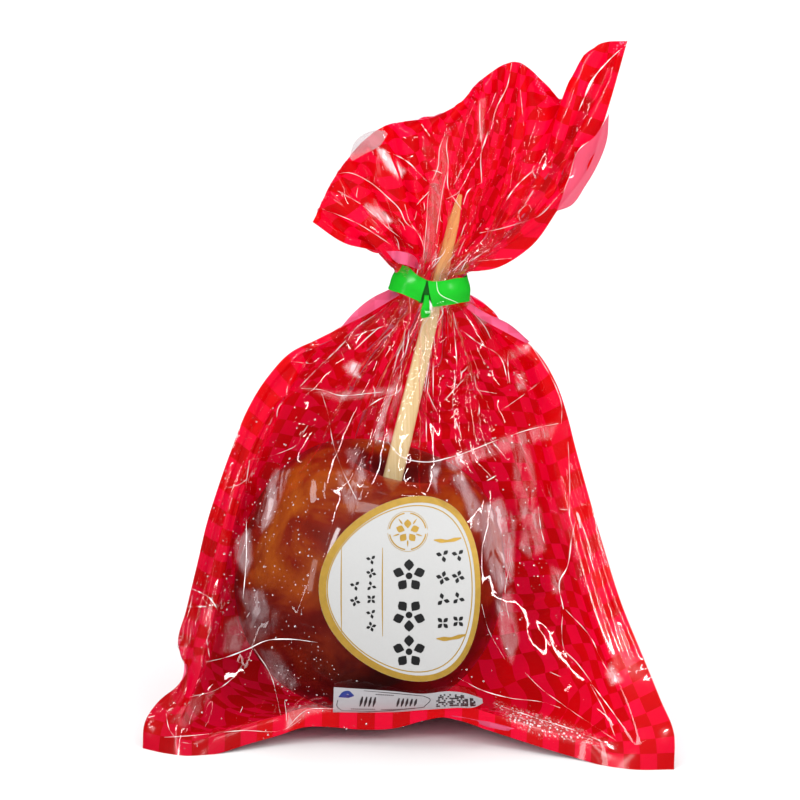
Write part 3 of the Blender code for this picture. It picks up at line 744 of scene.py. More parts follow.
def toffee():
    """Boiled sugar over a red apple: mottled amber and red-brown, with fine bubbles. It is darker low down and lighter
    towards the top, partly the toffee's own colour and partly painted shade and painted light, and darker in the
    stalk's hollow.
    """
    n = Nodes("toffee")
    place = n.place()
    mottle = n.noise(place, 0.05, 4.0, 0.55, 0.5)
    amber = n.ramp(mottle, (0.30, (0.08, 0.001, 0.0002)), (0.50, (0.18, 0.005, 0.0004)), (0.72, (0.38, 0.045, 0.002)))
    # Darker low down and lighter at the top: partly the toffee's own colour, partly painted shade and painted light;
    # darker too in the stalk's hollow.
    up = n.add("Attribute", attribute_name="depth").outputs["Fac"]
    tone_and_painted_light = n.ramp(up, (0.0, (0.10, 0.04, 0.04)), (0.35, (0.26, 0.12, 0.1)), (0.65, (0.62, 0.45, 0.4)), (0.95, (1.0, 1.9, 1.8)))
    n.link(n.mix(1.0, amber, tone_and_painted_light, "MULTIPLY"), n.shader.inputs["Base Color"])
    bubbles = n.add("TexVoronoi", feature="F1", Scale=0.62)
    n.link(place, bubbles.inputs["Vector"])
    spots = n.ramp(bubbles.outputs["Distance"], (0.0, 1.0), (0.22, 0.25), (0.34, 0.0))
    rough = n.noise(place, 0.35, 4.0, 0.6)
    n.link(n.bump(n.mix(0.65, spots, rough), 0.18, 0.5), n.shader.inputs["Normal"])
    n.set(Roughness=0.35, IOR=1.5, Specular_IOR_Level=0.1, Coat_Weight=0.7, Coat_Roughness=0.04, Subsurface_Weight=0.05)
    n.shader.inputs["Subsurface Radius"].default_value = (0.004, 0.0012, 0.0004)
    n.shader.inputs["Subsurface Scale"].default_value = 1.0
    return n.material


def pale_wood():
    n = Nodes("pale wood")
    along = n.place((1.6, 1.6, 0.045))
    grain = n.noise(along, 0.55, 6.0, 0.6, 0.3)
    base = n.ramp(grain, (0.25, (0.66, 0.43, 0.17)), (0.5, (0.80, 0.62, 0.32)), (0.8, (0.88, 0.74, 0.46)))
    # Painted light: above the neck the wood turns orange, standing for the red film's light on it.
    height = n.add("SeparateXYZ")
    n.link(n.place(), height.inputs[0])
    painted_red_light = n.ramp(n.math("DIVIDE", height.outputs["Z"], 200.0), (0.64, 0.0), (0.72, 1.0))
    base = n.mix(painted_red_light, base, (0.72, 0.31, 0.09))
    specks = n.add("TexVoronoi", feature="F1", Scale=0.16)
    n.link(n.place((1, 1, 0.5)), specks.inputs["Vector"])
    spots = n.ramp(specks.outputs["Distance"], (0.02, 0.75), (0.07, 0.0))
    n.link(n.mix(spots, base, (0.42, 0.20, 0.06)), n.shader.inputs["Base Color"])
    n.link(n.bump(grain, 0.12, 0.6), n.shader.inputs["Normal"])
    n.set(Roughness=0.55, IOR=1.45)
    return n.material


def film_shader(n, haze_and_glare, roughness, normal):
    """Clear film: see-through, glossier the more it is turned away, and whitened by haze and by painted glare."""
    clear = n.add("BsdfTransparent", Color=(0.99, 0.975, 0.98, 1))
    gloss = n.add("BsdfGlossy", Color=(1, 1, 1, 1), Roughness=roughness)
    whitening = n.add("BsdfDiffuse", Color=(1.0, 0.86, 0.89, 1))
    facing = n.add("LayerWeight", Blend=0.5)
    for node in (gloss, whitening, facing):
        n.link(normal, node.inputs["Normal"])
    share = n.math("ADD", n.math("MULTIPLY", n.math("POWER", facing.outputs["Facing"], 4.0), 0.75), 0.055)
    mirror, white = n.add("MixShader"), n.add("MixShader")
    n.link(share, mirror.inputs[0])
    n.link(clear.outputs[0], mirror.inputs[1])
    n.link(gloss.outputs[0], mirror.inputs[2])
    n.link(haze_and_glare, white.inputs[0])
    n.link(mirror.outputs[0], white.inputs[1])
    n.link(whitening.outputs[0], white.inputs[2])
    n.link(white.outputs[0], n.output.inputs["Surface"])
    n.tree.nodes.remove(n.shader)


def clear_film():
    n = Nodes("clear film")
    flat = n.place((1, 1, 1), "UV")
    wrinkles = n.noise(flat, 0.3, 3.0, 0.5, 0.6)
    normal = n.bump(wrinkles, 0.12, 0.3)
    uneven = n.ramp(n.noise(n.place((1, 0.3, 1), "UV"), 0.25, 5.0, 0.65, 0.7), (0.40, 0.03), (0.45, 0.30), (0.58, 0.42), (0.61, 0.9))
    # The whitened facets are partly haze of moisture and partly painted glare and glints.
    zones = n.math("MULTIPLY", n.add("Attribute", attribute_name="haze_and_glare").outputs["Fac"], uneven)
    # Fine white dots in one patch: beads of moisture drawn as painted sparkle.
    cells = n.add("TexVoronoi", feature="F1", Scale=1.1)
    n.link(flat, cells.inputs["Vector"])
    dots = n.ramp(cells.outputs["Distance"], (0.20, 0.85), (0.42, 0.06))
    moisture_and_sparkle = n.math("MULTIPLY", n.add("Attribute", attribute_name="moisture_and_sparkle").outputs["Fac"], dots)
    whitening = n.ramp(n.noise(flat, 0.045, 5.0, 0.7, 0.8), (0.50, 0.0), (0.80, 0.009))
    cling = n.math("MULTIPLY", n.add("Attribute", attribute_name="cling").outputs["Fac"], whitening)
    haze_and_glare = n.math("ADD", n.math("ADD", zones, moisture_and_sparkle), cling)
    film_shader(n, haze_and_glare, 0.05, normal)
    return n.material


def white_film(name, haze_and_glare, roughness, tint=(1.0, 0.95, 0.96)):
    """Film seen through folds or drops of water, evenly whitened. On the crease threads the whiteness is a painted
    glint.
    """
    n = Nodes(name)
    clear = n.add("BsdfTransparent", Color=(1, 1, 1, 1))
    whitening = n.add("BsdfDiffuse", Color=(*tint, 1))
    gloss = n.add("BsdfGlossy", Color=(1, 1, 1, 1), Roughness=roughness)
    veil, shine = n.add("MixShader", Fac=haze_and_glare), n.add("MixShader", Fac=0.2)
    n.link(clear.outputs[0], veil.inputs[1])
    n.link(whitening.outputs[0], veil.inputs[2])
    n.link(veil.outputs[0], shine.inputs[1])
    n.link(gloss.outputs[0], shine.inputs[2])
    n.link(shine.outputs[0], n.output.inputs["Surface"])
    n.tree.nodes.remove(n.shader)
    return n.material


def checked_film():
    """Red film printed with an even two-tone check, five millimetres a square. Painted shade darkens it at the lower
    left and along the foot, and it glows in its own colour as painted light coming through the film.
    """
    n = Nodes("checked film")
    flat = n.place((1, 1, 1), "UV")
    checks = n.add("TexChecker", Scale=0.2)
    n.link(flat, checks.inputs["Vector"])
    cells = n.add("VectorMath", operation="FLOOR")
    fifth = n.add("VectorMath", operation="SCALE", Scale=0.2)
    n.link(flat, fifth.inputs[0])
    n.link(fifth.outputs[0], cells.inputs[0])
    uneven = n.add("TexWhiteNoise", noise_dimensions="2D")
    n.link(cells.outputs[0], uneven.inputs["Vector"])
    print_a = n.mix(uneven.outputs["Value"], (0.60, 0.0006, 0.026), (0.53, 0.0004, 0.016))
    print_b = n.mix(uneven.outputs["Value"], (0.47, 0.0, 0.0020), (0.38, 0.0, 0.0014))
    ink = n.mix(checks.outputs["Fac"], print_a, print_b)
    # Painted shade: the print is darkened at the lower left and along the foot.
    painted_shade = n.ramp(n.add("Attribute", attribute_name="painted_shade").outputs["Fac"], (0.0, 1.0), (1.0, 0.4))
    ink = n.mix(1.0, ink, painted_shade, "MULTIPLY")
    n.link(ink, n.shader.inputs["Base Color"])
    # Painted light: the print glows in its own colour, standing for light coming through the film.
    n.link(ink, n.shader.inputs["Emission Color"])
    n.link(n.bump(n.noise(flat, 0.12, 3.0, 0.5, 0.8), 0.5, 0.25), n.shader.inputs["Normal"])
    n.set(Roughness=0.16, IOR=1.45, Specular_IOR_Level=0.35, Emission_Strength=0.62)
    return n.material


def film_reverse():
    n = Nodes("reverse of the checked film")
    flat = n.place((1, 1, 1), "UV")
    checks = n.add("TexChecker", Scale=0.2)
    n.link(flat, checks.inputs["Vector"])
    ink = n.mix(checks.outputs["Fac"], (0.72, 0.09, 0.2), (0.64, 0.065, 0.15))
    n.link(ink, n.shader.inputs["Base Color"])
    n.link(n.bump(n.noise(flat, 0.12, 3.0, 0.5, 0.8), 0.5, 0.25), n.shader.inputs["Normal"])
    n.set(Roughness=0.3, IOR=1.45)
    return n.material


def simple(name, colour, roughness, vary=0.06, scale=0.6, metallic=0.0, bump=0.02, **more):
    """A finish with a little unevenness in its colour and surface."""
    n = Nodes(name)
    place = n.place()
    darker = tuple(c * (1 - vary) for c in colour)
    lighter = tuple(min(1.0, c * (1 + vary)) for c in colour)
    grey = n.noise(place, scale, 4.0, 0.6)
    n.link(n.mix(grey, darker, lighter), n.shader.inputs["Base Color"])
    n.link(n.bump(grey, bump, 0.6), n.shader.inputs["Normal"])
    n.set(Roughness=roughness, Metallic=metallic, **more)
    return n.material


# ---------------------------------------------------------------- pieces

def make_apple():
    rings, sides = 200, 320
    profile = spline(APPLE_PROFILE, rings)
    turns = np.linspace(0, 2 * math.pi, sides, endpoint=False)
    local = np.stack([
        profile[:, None, 0] * np.cos(turns), profile[:, None, 0] * np.sin(turns),
        np.broadcast_to(profile[:, None, 1], (rings, sides)),
    ], axis=-1)
    way = local / np.linalg.norm(local, axis=-1, keepdims=True)
    draw = np.random.default_rng(5)
    lumps = np.zeros((rings, sides))
    for _ in range(26):
        axis = draw.normal(0, 1, 3)
        axis /= np.linalg.norm(axis)
        lumps += draw.uniform(-0.5, 0.5) * np.exp(-((way @ axis - 1) ** 2) / draw.uniform(0.004, 0.05))
    local = local + way * lumps[..., None]
    world = APPLE_CENTRE + leaned(local, APPLE_LEAN)
    world[..., 2] = np.maximum(world[..., 2], FLAT_HEIGHT)
    points = np.concatenate([world.reshape(-1, 3), [world[0].mean(axis=0)], [world[-1].mean(axis=0)]])
    faces = []
    at = np.arange(rings * sides).reshape(rings, sides)
    beside = np.roll(at, -1, axis=1)
    faces = np.stack([at[:-1], at[1:], beside[1:], beside[:-1]], axis=-1).reshape(-1, 4).tolist()
    faces += [(rings * sides, int(a), int(b)) for a, b in zip(at[0], beside[0])]
    faces += [(rings * sides + 1, int(b), int(a)) for a, b in zip(at[-1], beside[-1])]
    piece = mesh_piece("toffee_apple", points, faces, [toffee()], "toffee")
    # How high each point is, for the toffee's darkening low down and lightening at the top, partly painted shade and
    # light, with the stalk's hollow darker.
    height = (points[:, 2] - FLAT_HEIGHT) / 80
    hollow = eased(np.hypot(*(leaned(points - APPLE_CENTRE, -APPLE_LEAN)[:, :2].T)), 6, 17)
    hollow = np.where(height > 0.6, hollow, 1)
    add_values(piece, "depth", np.clip(0.15 + height * 1.1, 0, 1) * (0.25 + 0.75 * hollow))
    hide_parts("apple")


def make_stick():
    axis = (STICK_TIP - STICK_FOOT) / np.linalg.norm(STICK_TIP - STICK_FOOT)
    deep = np.cross(axis, [1.0, 0.0, 0.0])
    deep /= np.linalg.norm(deep)
    wide = np.cross(deep, axis)
    stations, corners = 90, 28
    shares = np.linspace(0, 1, stations)
    table = np.array(STICK_SECTIONS)
    half_w = np.interp(shares, table[:, 0], table[:, 1]) / 2
    half_d = np.interp(shares, table[:, 0], table[:, 2]) / 2
    turns = np.linspace(0, 2 * math.pi, corners, endpoint=False)
    square = 0.42
    a = np.sign(np.cos(turns)) * np.abs(np.cos(turns)) ** square
    b = np.sign(np.sin(turns)) * np.abs(np.sin(turns)) ** square
    middle = STICK_FOOT + shares[:, None] * (STICK_TIP - STICK_FOOT)
    rings = (
        middle[:, None] + (half_w[:, None] * a)[..., None] * wide + (half_d[:, None] * b)[..., None] * deep
    )
    at = np.arange(stations * corners).reshape(stations, corners)
    beside = np.roll(at, -1, axis=1)
    faces = np.stack([at[:-1], beside[:-1], beside[1:], at[1:]], axis=-1).reshape(-1, 4).tolist()
    faces += [at[0][::-1].tolist(), at[-1].tolist()]
    piece = mesh_piece("stick_wood", rings.reshape(-1, 3), faces, [pale_wood()], "pale_wood")
    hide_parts("stick")


LEAN = math.radians(18)
PAPER_UP = np.array([0.0, math.sin(LEAN), math.cos(LEAN)])
PAPER_IN = np.array([0.0, math.cos(LEAN), -math.sin(LEAN)])
LABEL_CENTRE = np.array([-2.5, 36.1 + SHIFT[1] * math.sin(LEAN)])
LABEL_HALF = np.array([24.2, 27.8])
STICKER_CENTRE = np.array([0.0, 2.6 + SHIFT[1] * math.sin(LEAN)])
STICKER_HALF = np.array([22.4, 3.5])


def seen(points):
    """Places on the leaning plane of the paper: across, up, and how far in."""
    return np.stack([points[..., 0], points @ PAPER_UP, points @ PAPER_IN], axis=-1)


def terms(at, centre, half):
    a = (at[..., 0] - centre[0]) / half[0]
    b = (at[..., 1] - centre[1]) / half[1]
    return np.stack([np.ones_like(a), a, b, a * a, a * b, b * b], axis=-1), np.hypot(a, b), np.maximum(abs(a), abs(b))


def smooth_under(front, centre, half, oval):
    """Fits a gently curved sheet to the film under a piece of paper, and lays the film against it."""
    at = seen(front)
    shape, round_reach, square_reach = terms(at, centre, half)
    reach = round_reach if oval else square_reach
    near = reach < 1.0
    depth = at[..., 2]
    fit = np.linalg.lstsq(shape[near], depth[near], rcond=None)[0]
    fit[0] += np.percentile(depth[near] - shape[near] @ fit, 20)
    blend = 1 - eased(reach, 1.0, 1.12)
    target = np.maximum(shape @ fit + 0.12, depth)
    close = depth < np.median(depth[near]) + 14
    front += ((blend * close * (target - depth))[..., None]) * PAPER_IN
    return fit


def inside_of(at, corners):
    """How far inside a polygon each place is, negative outside it."""
    corners = np.array(corners, float)
    corners[:, 1] += SHIFT[1] * math.sin(LEAN)
    after = np.roll(corners, -1, axis=0)
    nearest = np.full(at.shape[:-1], 1e9)
    inside = np.zeros(at.shape[:-1], bool)
    for a, b in zip(corners, after):
        way = b - a
        share = np.clip(((at[..., :2] - a) @ way) / (way @ way), 0, 1)
        nearest = np.minimum(nearest, np.linalg.norm(at[..., :2] - a - share[..., None] * way, axis=-1))
        crosses = (a[1] > at[..., 1]) != (b[1] > at[..., 1])
        if way[1]:
            inside ^= crosses & (at[..., 0] < a[0] + way[0] * (at[..., 1] - a[1]) / way[1])
    return np.where(inside, nearest, -nearest)


def patches(at, polygons, soft):
    """The strongest of some soft-edged polygons at each place."""
    out = np.zeros(at.shape[:-1])
    for strength, corners in polygons:
        out = np.maximum(out, strength * eased(inside_of(at, corners), -soft, soft))
    return out


def crumpled(draw, grid, flat, inner_share):
    """The panel with its creases: long facets that fan out from the neck, and broader and finer ones everywhere."""
    near_neck = 1 - eased(np.abs(grid[..., 2] - NECK_CENTRE[2]), 10, 62)
    long = facets(draw, flat * [1, 0.26], 4.6, 0.55) * (0.3 + 0.7 * near_neck)
    creased = long + facets(draw, flat, 12.0, 0.55) + facets(draw, flat, 4.4, 0.13) * (0.5 + near_neck)
    return grid + (creased * inner_share)[..., None] * film_normals(grid)


def make_film(film):
    """The clear front sheet, and the back one as a thin printed sheet with its own reverse."""
    draw = np.random.default_rng(23)
    red, pink, clear = checked_film(), film_reverse(), clear_film()
    grids = []
    for side, (rows, columns) in enumerate(((361, 229), (265, 161))):
        grid = resampled(film.points[side], rows, columns)
        heights = resampled(film.height[side], rows - 1, columns) * (film.points.shape[1] - 1) / (rows - 1)
        flat = flat_places(columns, rows, heights)
        across = flat[..., 0]
        rim = np.minimum(across, FILM_WIDTH - across)
        taut = 0.8 * eased(rim, 1, 5) * (1 - eased(rim, 15, 24)) * (1 - eased(grid[..., 2], 70, 95))
        for _ in range(TAUT_ROUNDS):
            grid[1:-1] += taut[1:-1, :, None] * (0.5 * (grid[:-2] + grid[2:]) - grid[1:-1])
        up = np.minimum(flat[..., 1], flat[-1:, :, 1] - flat[..., 1])
        free = eased(across, SEALS[0], SEALS[0] + 4) * eased(FILM_WIDTH - across, SEALS[1], SEALS[1] + 4)
        free = np.maximum(free, 0.6 * eased(grid[..., 2], 125, 140) * eased(across, 1, 6)
                          * eased(FILM_WIDTH - across, 1, 6)) * eased(up, SEALS[2], SEALS[2] + 4)
        grids.append((crumpled(draw, grid, flat, free * (1.0, 0.6)[side]), flat))
    (front, flat), (back, _) = grids
    rows, columns = front.shape[:2]
    body = slice(0, rows * 5 // 8)
    front[body] = clear_of_apple(front[body], 0.35)
    behind = resampled(back, rows, columns)
    front[..., 1] = np.minimum(front[..., 1], behind[..., 1] - 0.2)
    fits = [smooth_under(front, LABEL_CENTRE, LABEL_HALF, True), smooth_under(front, STICKER_CENTRE, STICKER_HALF, False)]
    rows -= round(MOUTH_STEP / (flat[-1, columns // 2, 1] / rows))
    front, flat = front[:rows], flat[:rows]
    piece = mesh_piece("film_front", front.reshape(-1, 3), grid_faces(rows, columns), [clear], "clear_film")
    add_map(piece, flat.reshape(-1, 2))
    offset = front - APPLE_CENTRE
    add_values(piece, "cling", 1 - eased(np.linalg.norm(offset, axis=-1) - apple_reach(offset), 1.0, 3.5))
    at = seen(front)
    # Whitening of the film: haze of moisture, and painted glare and glints on flat facets.
    add_values(piece, "haze_and_glare", patches(at, HAZE_AND_GLARE_FACETS, 0.9))
    # Beads of moisture in one patch, whitened as painted sparkle.
    add_values(piece, "moisture_and_sparkle", patches(at, ((1.0, MOISTURE_AND_SPARKLE_PATCH),), 1.5))
    piece.visible_shadow = False
    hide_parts("bag_front")
    front_faces = grid_faces(rows, columns)
    rows, columns = back.shape[:2]
    outer = back - 0.12 * film_normals(back)
    points = np.concatenate([back.reshape(-1, 3), outer.reshape(-1, 3)])
    inner_faces = grid_faces(rows, columns)
    rest = grid_faces(rows, columns, rows * columns, True) + rim_faces(rows, columns)
    facing = film_normals(back)[:-1, :-1] @ PAPER_IN
    folded = (facing > 0.15) & (back[:-1, :-1, 2] > 58)
    slots = [0] * len(inner_faces) + (~folded).astype(int).ravel().tolist()
    slots += [1] * (len(rest) - folded.size)
    piece = mesh_piece("film_back", points, inner_faces + rest, [red, pink], "checked_film", slots)
    surface = resampled(film.smooth[1], rows, columns)
    add_map(piece, np.concatenate([seamed_places(seen(surface)[..., :2]).reshape(-1, 2)] * 2))
    # Painted shade on the print, darkest at the lower left and along the foot.
    at = seen(points)
    left = 0.65 * eased(-at[:, 0], 12, 62) * (1 - eased(at[:, 1], 25, 105))
    add_values(piece, "painted_shade", np.maximum(left, 0.35 * (1 - eased(at[:, 1], -14, 12))))
    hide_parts("bag_back")
    start = front.shape[0] * front.shape[1]
    both = np.concatenate([front.reshape(-1, 3), back.reshape(-1, 3)])
    faces = front_faces + [tuple(start + i for i in face) for face in inner_faces]
    tree = BVHTree.FromPolygons(both.tolist(), faces)
    return front, flat, fits, tree


def depth_of(tree, places):
    """How far in the nearest film is at each place; where there is none, as far as at its neighbours."""
    found = []
    for x, up in places:
        start = np.array([x, 0.0, 0.0]) + up * PAPER_UP - 300 * PAPER_IN
        hit = tree.ray_cast(Vector(start), Vector(PAPER_IN))[0]
        found.append(np.nan if hit is None else np.array(hit) @ PAPER_IN)
    found = np.array(found)
    known = ~np.isnan(found)
    if not known.any():
        return None
    steps = np.arange(len(found))
    return np.interp(steps, steps[known], found[known])


def settled(depth, rounds=3):
    for _ in range(rounds):
        depth = np.concatenate([depth[:1], (depth[:-2] + depth[1:-1] + depth[2:]) / 3, depth[-1:]])
    return depth


def on_film(tree, line, spacing, lift):
    """A curve through places on the leaning plane, laid on the nearest film. Without a spacing it keeps its points."""
    line = np.array(line, float)
    line[:, 1] += SHIFT[1] * math.sin(LEAN)
    if spacing:
        line = spline(line, max(5, round(np.linalg.norm(np.diff(line, axis=0), axis=1).sum() / spacing)))
    depth = depth_of(tree, line)
    if depth is None:
        return None
    depth = settled(np.minimum(depth, np.median(depth) + 12)) - lift
    return line[:, :1] * [1, 0, 0] + line[:, 1:] * PAPER_UP + depth[:, None] * PAPER_IN


def tube(line, radii, sides=5):
    """Points and faces of a round thread along a curve."""
    way = np.gradient(line, axis=0)
    way /= np.maximum(np.linalg.norm(way, axis=1, keepdims=True), 1e-9)
    wide = np.cross(way, PAPER_IN)
    wide /= np.maximum(np.linalg.norm(wide, axis=1, keepdims=True), 1e-9)
    deep = np.cross(way, wide)
    turns = np.linspace(0, 2 * math.pi, sides, endpoint=False)
    ring = np.cos(turns)[None, :, None] * wide[:, None] + np.sin(turns)[None, :, None] * deep[:, None]
    points = line[:, None] + ring * np.asarray(radii)[:, None, None]
    at = np.arange(len(line) * sides).reshape(len(line), sides)
    beside = np.roll(at, -1, axis=1)
    faces = np.stack([at[:-1], beside[:-1], beside[1:], at[1:]], axis=-1).reshape(-1, 4).tolist()
    return points.reshape(-1, 3), faces + [at[0][::-1].tolist(), at[-1].tolist()]


def gathered(parts):
    """One list of points and one of faces from several."""
    points, faces, start = [], [], 0
    for some, more in parts:
        points.append(some)
        faces += [[start + i for i in face] for face in more]
        start += len(some)
    return np.concatenate(points), faces


def make_creases(front, flat, tree):
    """The sharp folds in the film as fine ridges, nearly white all over as painted glints along their length."""
    draw = np.random.default_rng(31)
    parts = []
    for radius, line in FLARE_CREASES + SHOULDER_CREASES + FOOT_CREASES:
        path = on_film(tree, line, 0.6, 0.12)
        if path is None:
            continue
        share = np.linspace(0, 1, len(path))
        swing = np.interp(share, np.linspace(0, 1, 13), np.clip(draw.uniform(-0.5, 1.25, 13), 0.02, 1.2))
        parts.append(tube(path, 0.8 * radius * swing * np.sin(math.pi * np.clip(share, 0.03, 0.97)) ** 0.35))
    rows, columns = front.shape[:2]
    spacing = FILM_WIDTH / (columns - 1)
    for _ in range(110):
        row, column = draw.integers(14, rows - 10), draw.integers(18, columns - 14)
        close = 1 - eased(abs(front[row, column, 2] - NECK_CENTRE[2]), 12, 60)
        place = seen(front[row, column])[:2]
        on_label = np.hypot(*((place - LABEL_CENTRE) / (LABEL_HALF + 5))) < 1
        on_sticker = np.abs((place - STICKER_CENTRE) / (STICKER_HALF + 3)).max() < 1
        if on_label or on_sticker or draw.uniform() > 0.25 + 0.75 * close:
            continue
        angle = draw.normal(math.pi / 2, 0.2 + 1.1 * (1 - close))
        long = draw.uniform(1.5, 5) * (1 + 1.5 * close)
        steps = np.linspace(-0.5, 0.5, max(5, round(long / 0.7))) * long / spacing
        bow = draw.normal(0, 0.02) * long / spacing
        c = column + steps * math.cos(angle) + bow * np.cos(steps / abs(steps[0]) * 1.5)
        r = row + steps * math.sin(angle)
        if r.min() < 8 or c.min() < 14 or r.max() > rows - 4 or c.max() > columns - 10:
            continue
        r0, c0 = r.astype(int), c.astype(int)
        fr, fc = (r - r0)[:, None], (c - c0)[:, None]
        path = (front[r0, c0] * (1 - fr) * (1 - fc) + front[r0 + 1, c0] * fr * (1 - fc)
                + front[r0, c0 + 1] * (1 - fr) * fc + front[r0 + 1, c0 + 1] * fr * fc)
        path = path - 0.08 * PAPER_IN
        share = np.linspace(0.03, 0.97, len(path))
        parts.append(tube(path, draw.uniform(0.05, 0.13) * np.sin(math.pi * share) ** 0.5, 4))
    points, faces = gathered(parts)
    # Painted glints: the crease threads are nearly white whichever way they face.
    mesh_piece("film_creases", points, faces, [white_film("creased film with painted glints", 0.95, 0.25, (1.0, 0.98, 0.98))], "clear_film")


def make_drops(front):
    """Beads of moisture inside the film, most of them round the apple."""
    draw = np.random.default_rng(47)
    at = seen(front)
    haze_and_glare = patches(at, HAZE_AND_GLARE_FACETS, 3.0)
    offset = front - APPLE_CENTRE
    close = 1 - eased(np.linalg.norm(offset, axis=-1) - apple_reach(offset), 2, 26)
    weight = (0.06 + haze_and_glare + 0.5 * close) * (front[..., 2] < 128)
    oval = np.hypot(*np.moveaxis((at[..., :2] - LABEL_CENTRE) / (LABEL_HALF + 3), -1, 0)) > 1
    strip = np.abs((at[..., :2] - STICKER_CENTRE) / (STICKER_HALF + 2)).max(axis=-1) > 1
    weight = (weight * oval * strip).ravel()
    chosen = draw.choice(len(weight), 900, replace=False, p=weight / weight.sum())
    normal = film_normals(front).reshape(-1, 3)[chosen]
    middle = front.reshape(-1, 3)[chosen]
    turns = np.linspace(0, 2 * math.pi, 7, endpoint=False)
    parts = []
    for centre, out in zip(middle, normal):
        side = np.cross(out, [0.3, 0.2, 0.9])
        side /= np.linalg.norm(side)
        other = np.cross(out, side)
        size = 0.11 + 0.26 * draw.uniform() ** 4
        rings = [
            centre + size * (wide * (np.cos(turns)[:, None] * side + np.sin(turns)[:, None] * other) + tall * out)
            for wide, tall in ((1.0, 0.05), (0.75, 0.4))
        ]
        points = np.concatenate(rings + [[centre + 0.6 * size * out]])
        faces = [[i, (i + 1) % 7, 7 + (i + 1) % 7, 7 + i] for i in range(7)]
        faces += [[7 + i, 7 + (i + 1) % 7, 14] for i in range(7)] + [list(range(6, -1, -1))]
        parts.append((points, faces))
    points, faces = gathered(parts)
    mesh_piece("film_drops", points, faces, [white_film("beads of moisture", 0.3, 0.08)], "clear_film")


def turned_strip(tree, outer, inner, lift):
    """A strip of film between two edges, laid just in front of the bag, as a thin closed sheet."""
    outer, inner = spline(outer, 40), spline(inner, 40)
    lines = [on_film(tree, outer + share * (inner - outer), None, lift) for share in np.linspace(0, 1, 7)]
    low = np.stack(lines, axis=1)
    for _ in range(4):
        low[:, 1:-1] = (low[:, :-2] + low[:, 1:-1] + low[:, 2:]) / 3
    top = low - 0.1 * PAPER_IN
    rows, columns = low.shape[:2]
    faces = grid_faces(rows, columns) + grid_faces(rows, columns, rows * columns, True) + rim_faces(rows, columns)
    return np.concatenate([top.reshape(-1, 3), low.reshape(-1, 3)]), faces


def make_turned_edges(tree):
    parts = [turned_strip(tree, outer, inner, 2.2) for outer, inner in TURNED_EDGES]
    points, faces = gathered(parts)
    thin = sum(len(part[1]) for part in parts[:-1])
    slots = [0] * thin + [1] * (len(faces) - thin)
    surfaces = [film_reverse(), white_film("thin turned edge", 0.72, 0.15, (1.0, 0.10, 0.2))]
    piece = mesh_piece("film_turned_edges", points, faces, surfaces, "checked_film", slots)
    add_map(piece, seen(points)[:, :2])
    points, faces = turned_strip(tree, *CLEAR_CORNER, 0.9)
    mesh_piece("film_corner", points, faces, [white_film("clear film's corner", 0.2, 0.1, (1.0, 0.75, 0.8))], "clear_film")


def on_paper(places, fit, centre, half, lift):
    """Points of the frame for places on a piece of paper, lifted off the film."""
    at = np.asarray(places, float)
    shape = terms(at, centre, half)[0]
    depth = shape @ fit - lift
    return at[..., :1] * [1, 0, 0] + at[..., 1:2] * PAPER_UP + depth[..., None] * PAPER_IN


def sheet_piece(name, places, fit, centre, half, lift, thick, surface, slot):
    """A thin closed sheet of paper over a grid of places."""
    rows, columns = places.shape[:2]
    top = on_paper(places, fit, centre, half, lift + thick).reshape(-1, 3)
    low = on_paper(places, fit, centre, half, lift).reshape(-1, 3)
    faces = grid_faces(rows, columns) + grid_faces(rows, columns, rows * columns, True) + rim_faces(rows, columns)
    return mesh_piece(name, np.concatenate([top, low]), faces, [surface], slot)


def egg(turns):
    """The label's outline about its centre: an oval fuller to the left."""
    return np.stack([LABEL_HALF[0] * np.cos(turns) + 6 * np.sin(turns) ** 2, LABEL_HALF[1] * np.sin(turns)], axis=-1)


def arc(centre, radius, width, start, end):
    """A curved line as a narrow grid of places; radius is a number or a function of the angle."""
    turns = np.linspace(math.radians(start), math.radians(end), max(6, round(abs(end - start) / 5)))
    spoke = radius(turns) if callable(radius) else radius * np.stack([np.cos(turns), np.sin(turns)], axis=-1)
    long = np.linalg.norm(spoke, axis=-1, keepdims=True)
    wide = width(turns)[:, None] if callable(width) else width
    return np.stack([centre + spoke * (1 - wide / long), centre + spoke], axis=1)


def stroke(points, widths):
    """A brush stroke through places, as wide at each as given."""
    line = spline(points, 14)
    wide = np.interp(np.linspace(0, 1, 14), np.linspace(0, 1, len(widths)), widths)
    way = np.gradient(line, axis=0)
    side = np.stack([-way[:, 1], way[:, 0]], axis=-1) / np.linalg.norm(way, axis=1, keepdims=True)
    return np.stack([line + side * wide[:, None] / 2, line - side * wide[:, None] / 2], axis=1)


def petals(centre, reach, count, width, turn=90.0, hole=0.25):
    """Petals round a centre, as brush strokes that are widest beyond their middle."""
    out = []
    for k in range(count):
        angle = math.radians(turn + 360 * k / count)
        way = np.array([math.cos(angle), math.sin(angle)])
        out.append(stroke([centre + way * reach * s for s in (hole, 0.6, 1.0)], (0.06, 0.6 * width, width, 0.72 * width, 0.08)))
    return out


def printed(name, shapes, fit, centre, half, lift, surface, slot):
    """Ink on a piece of paper: each shape is a grid of places, made a thin closed sheet of its own."""
    points, faces = [], []
    for places in shapes:
        rows, columns = places.shape[:2]
        start = sum(len(p) for p in points)
        for height in (lift + 0.03, lift - 0.03):
            points.append(on_paper(places, fit, centre, half, height).reshape(-1, 3))
        faces += grid_faces(rows, columns, start) + grid_faces(rows, columns, start + rows * columns, True)
        faces += [tuple(start + i for i in face) for face in rim_faces(rows, columns)]
    return mesh_piece(name, np.concatenate(points), faces, [surface], slot)


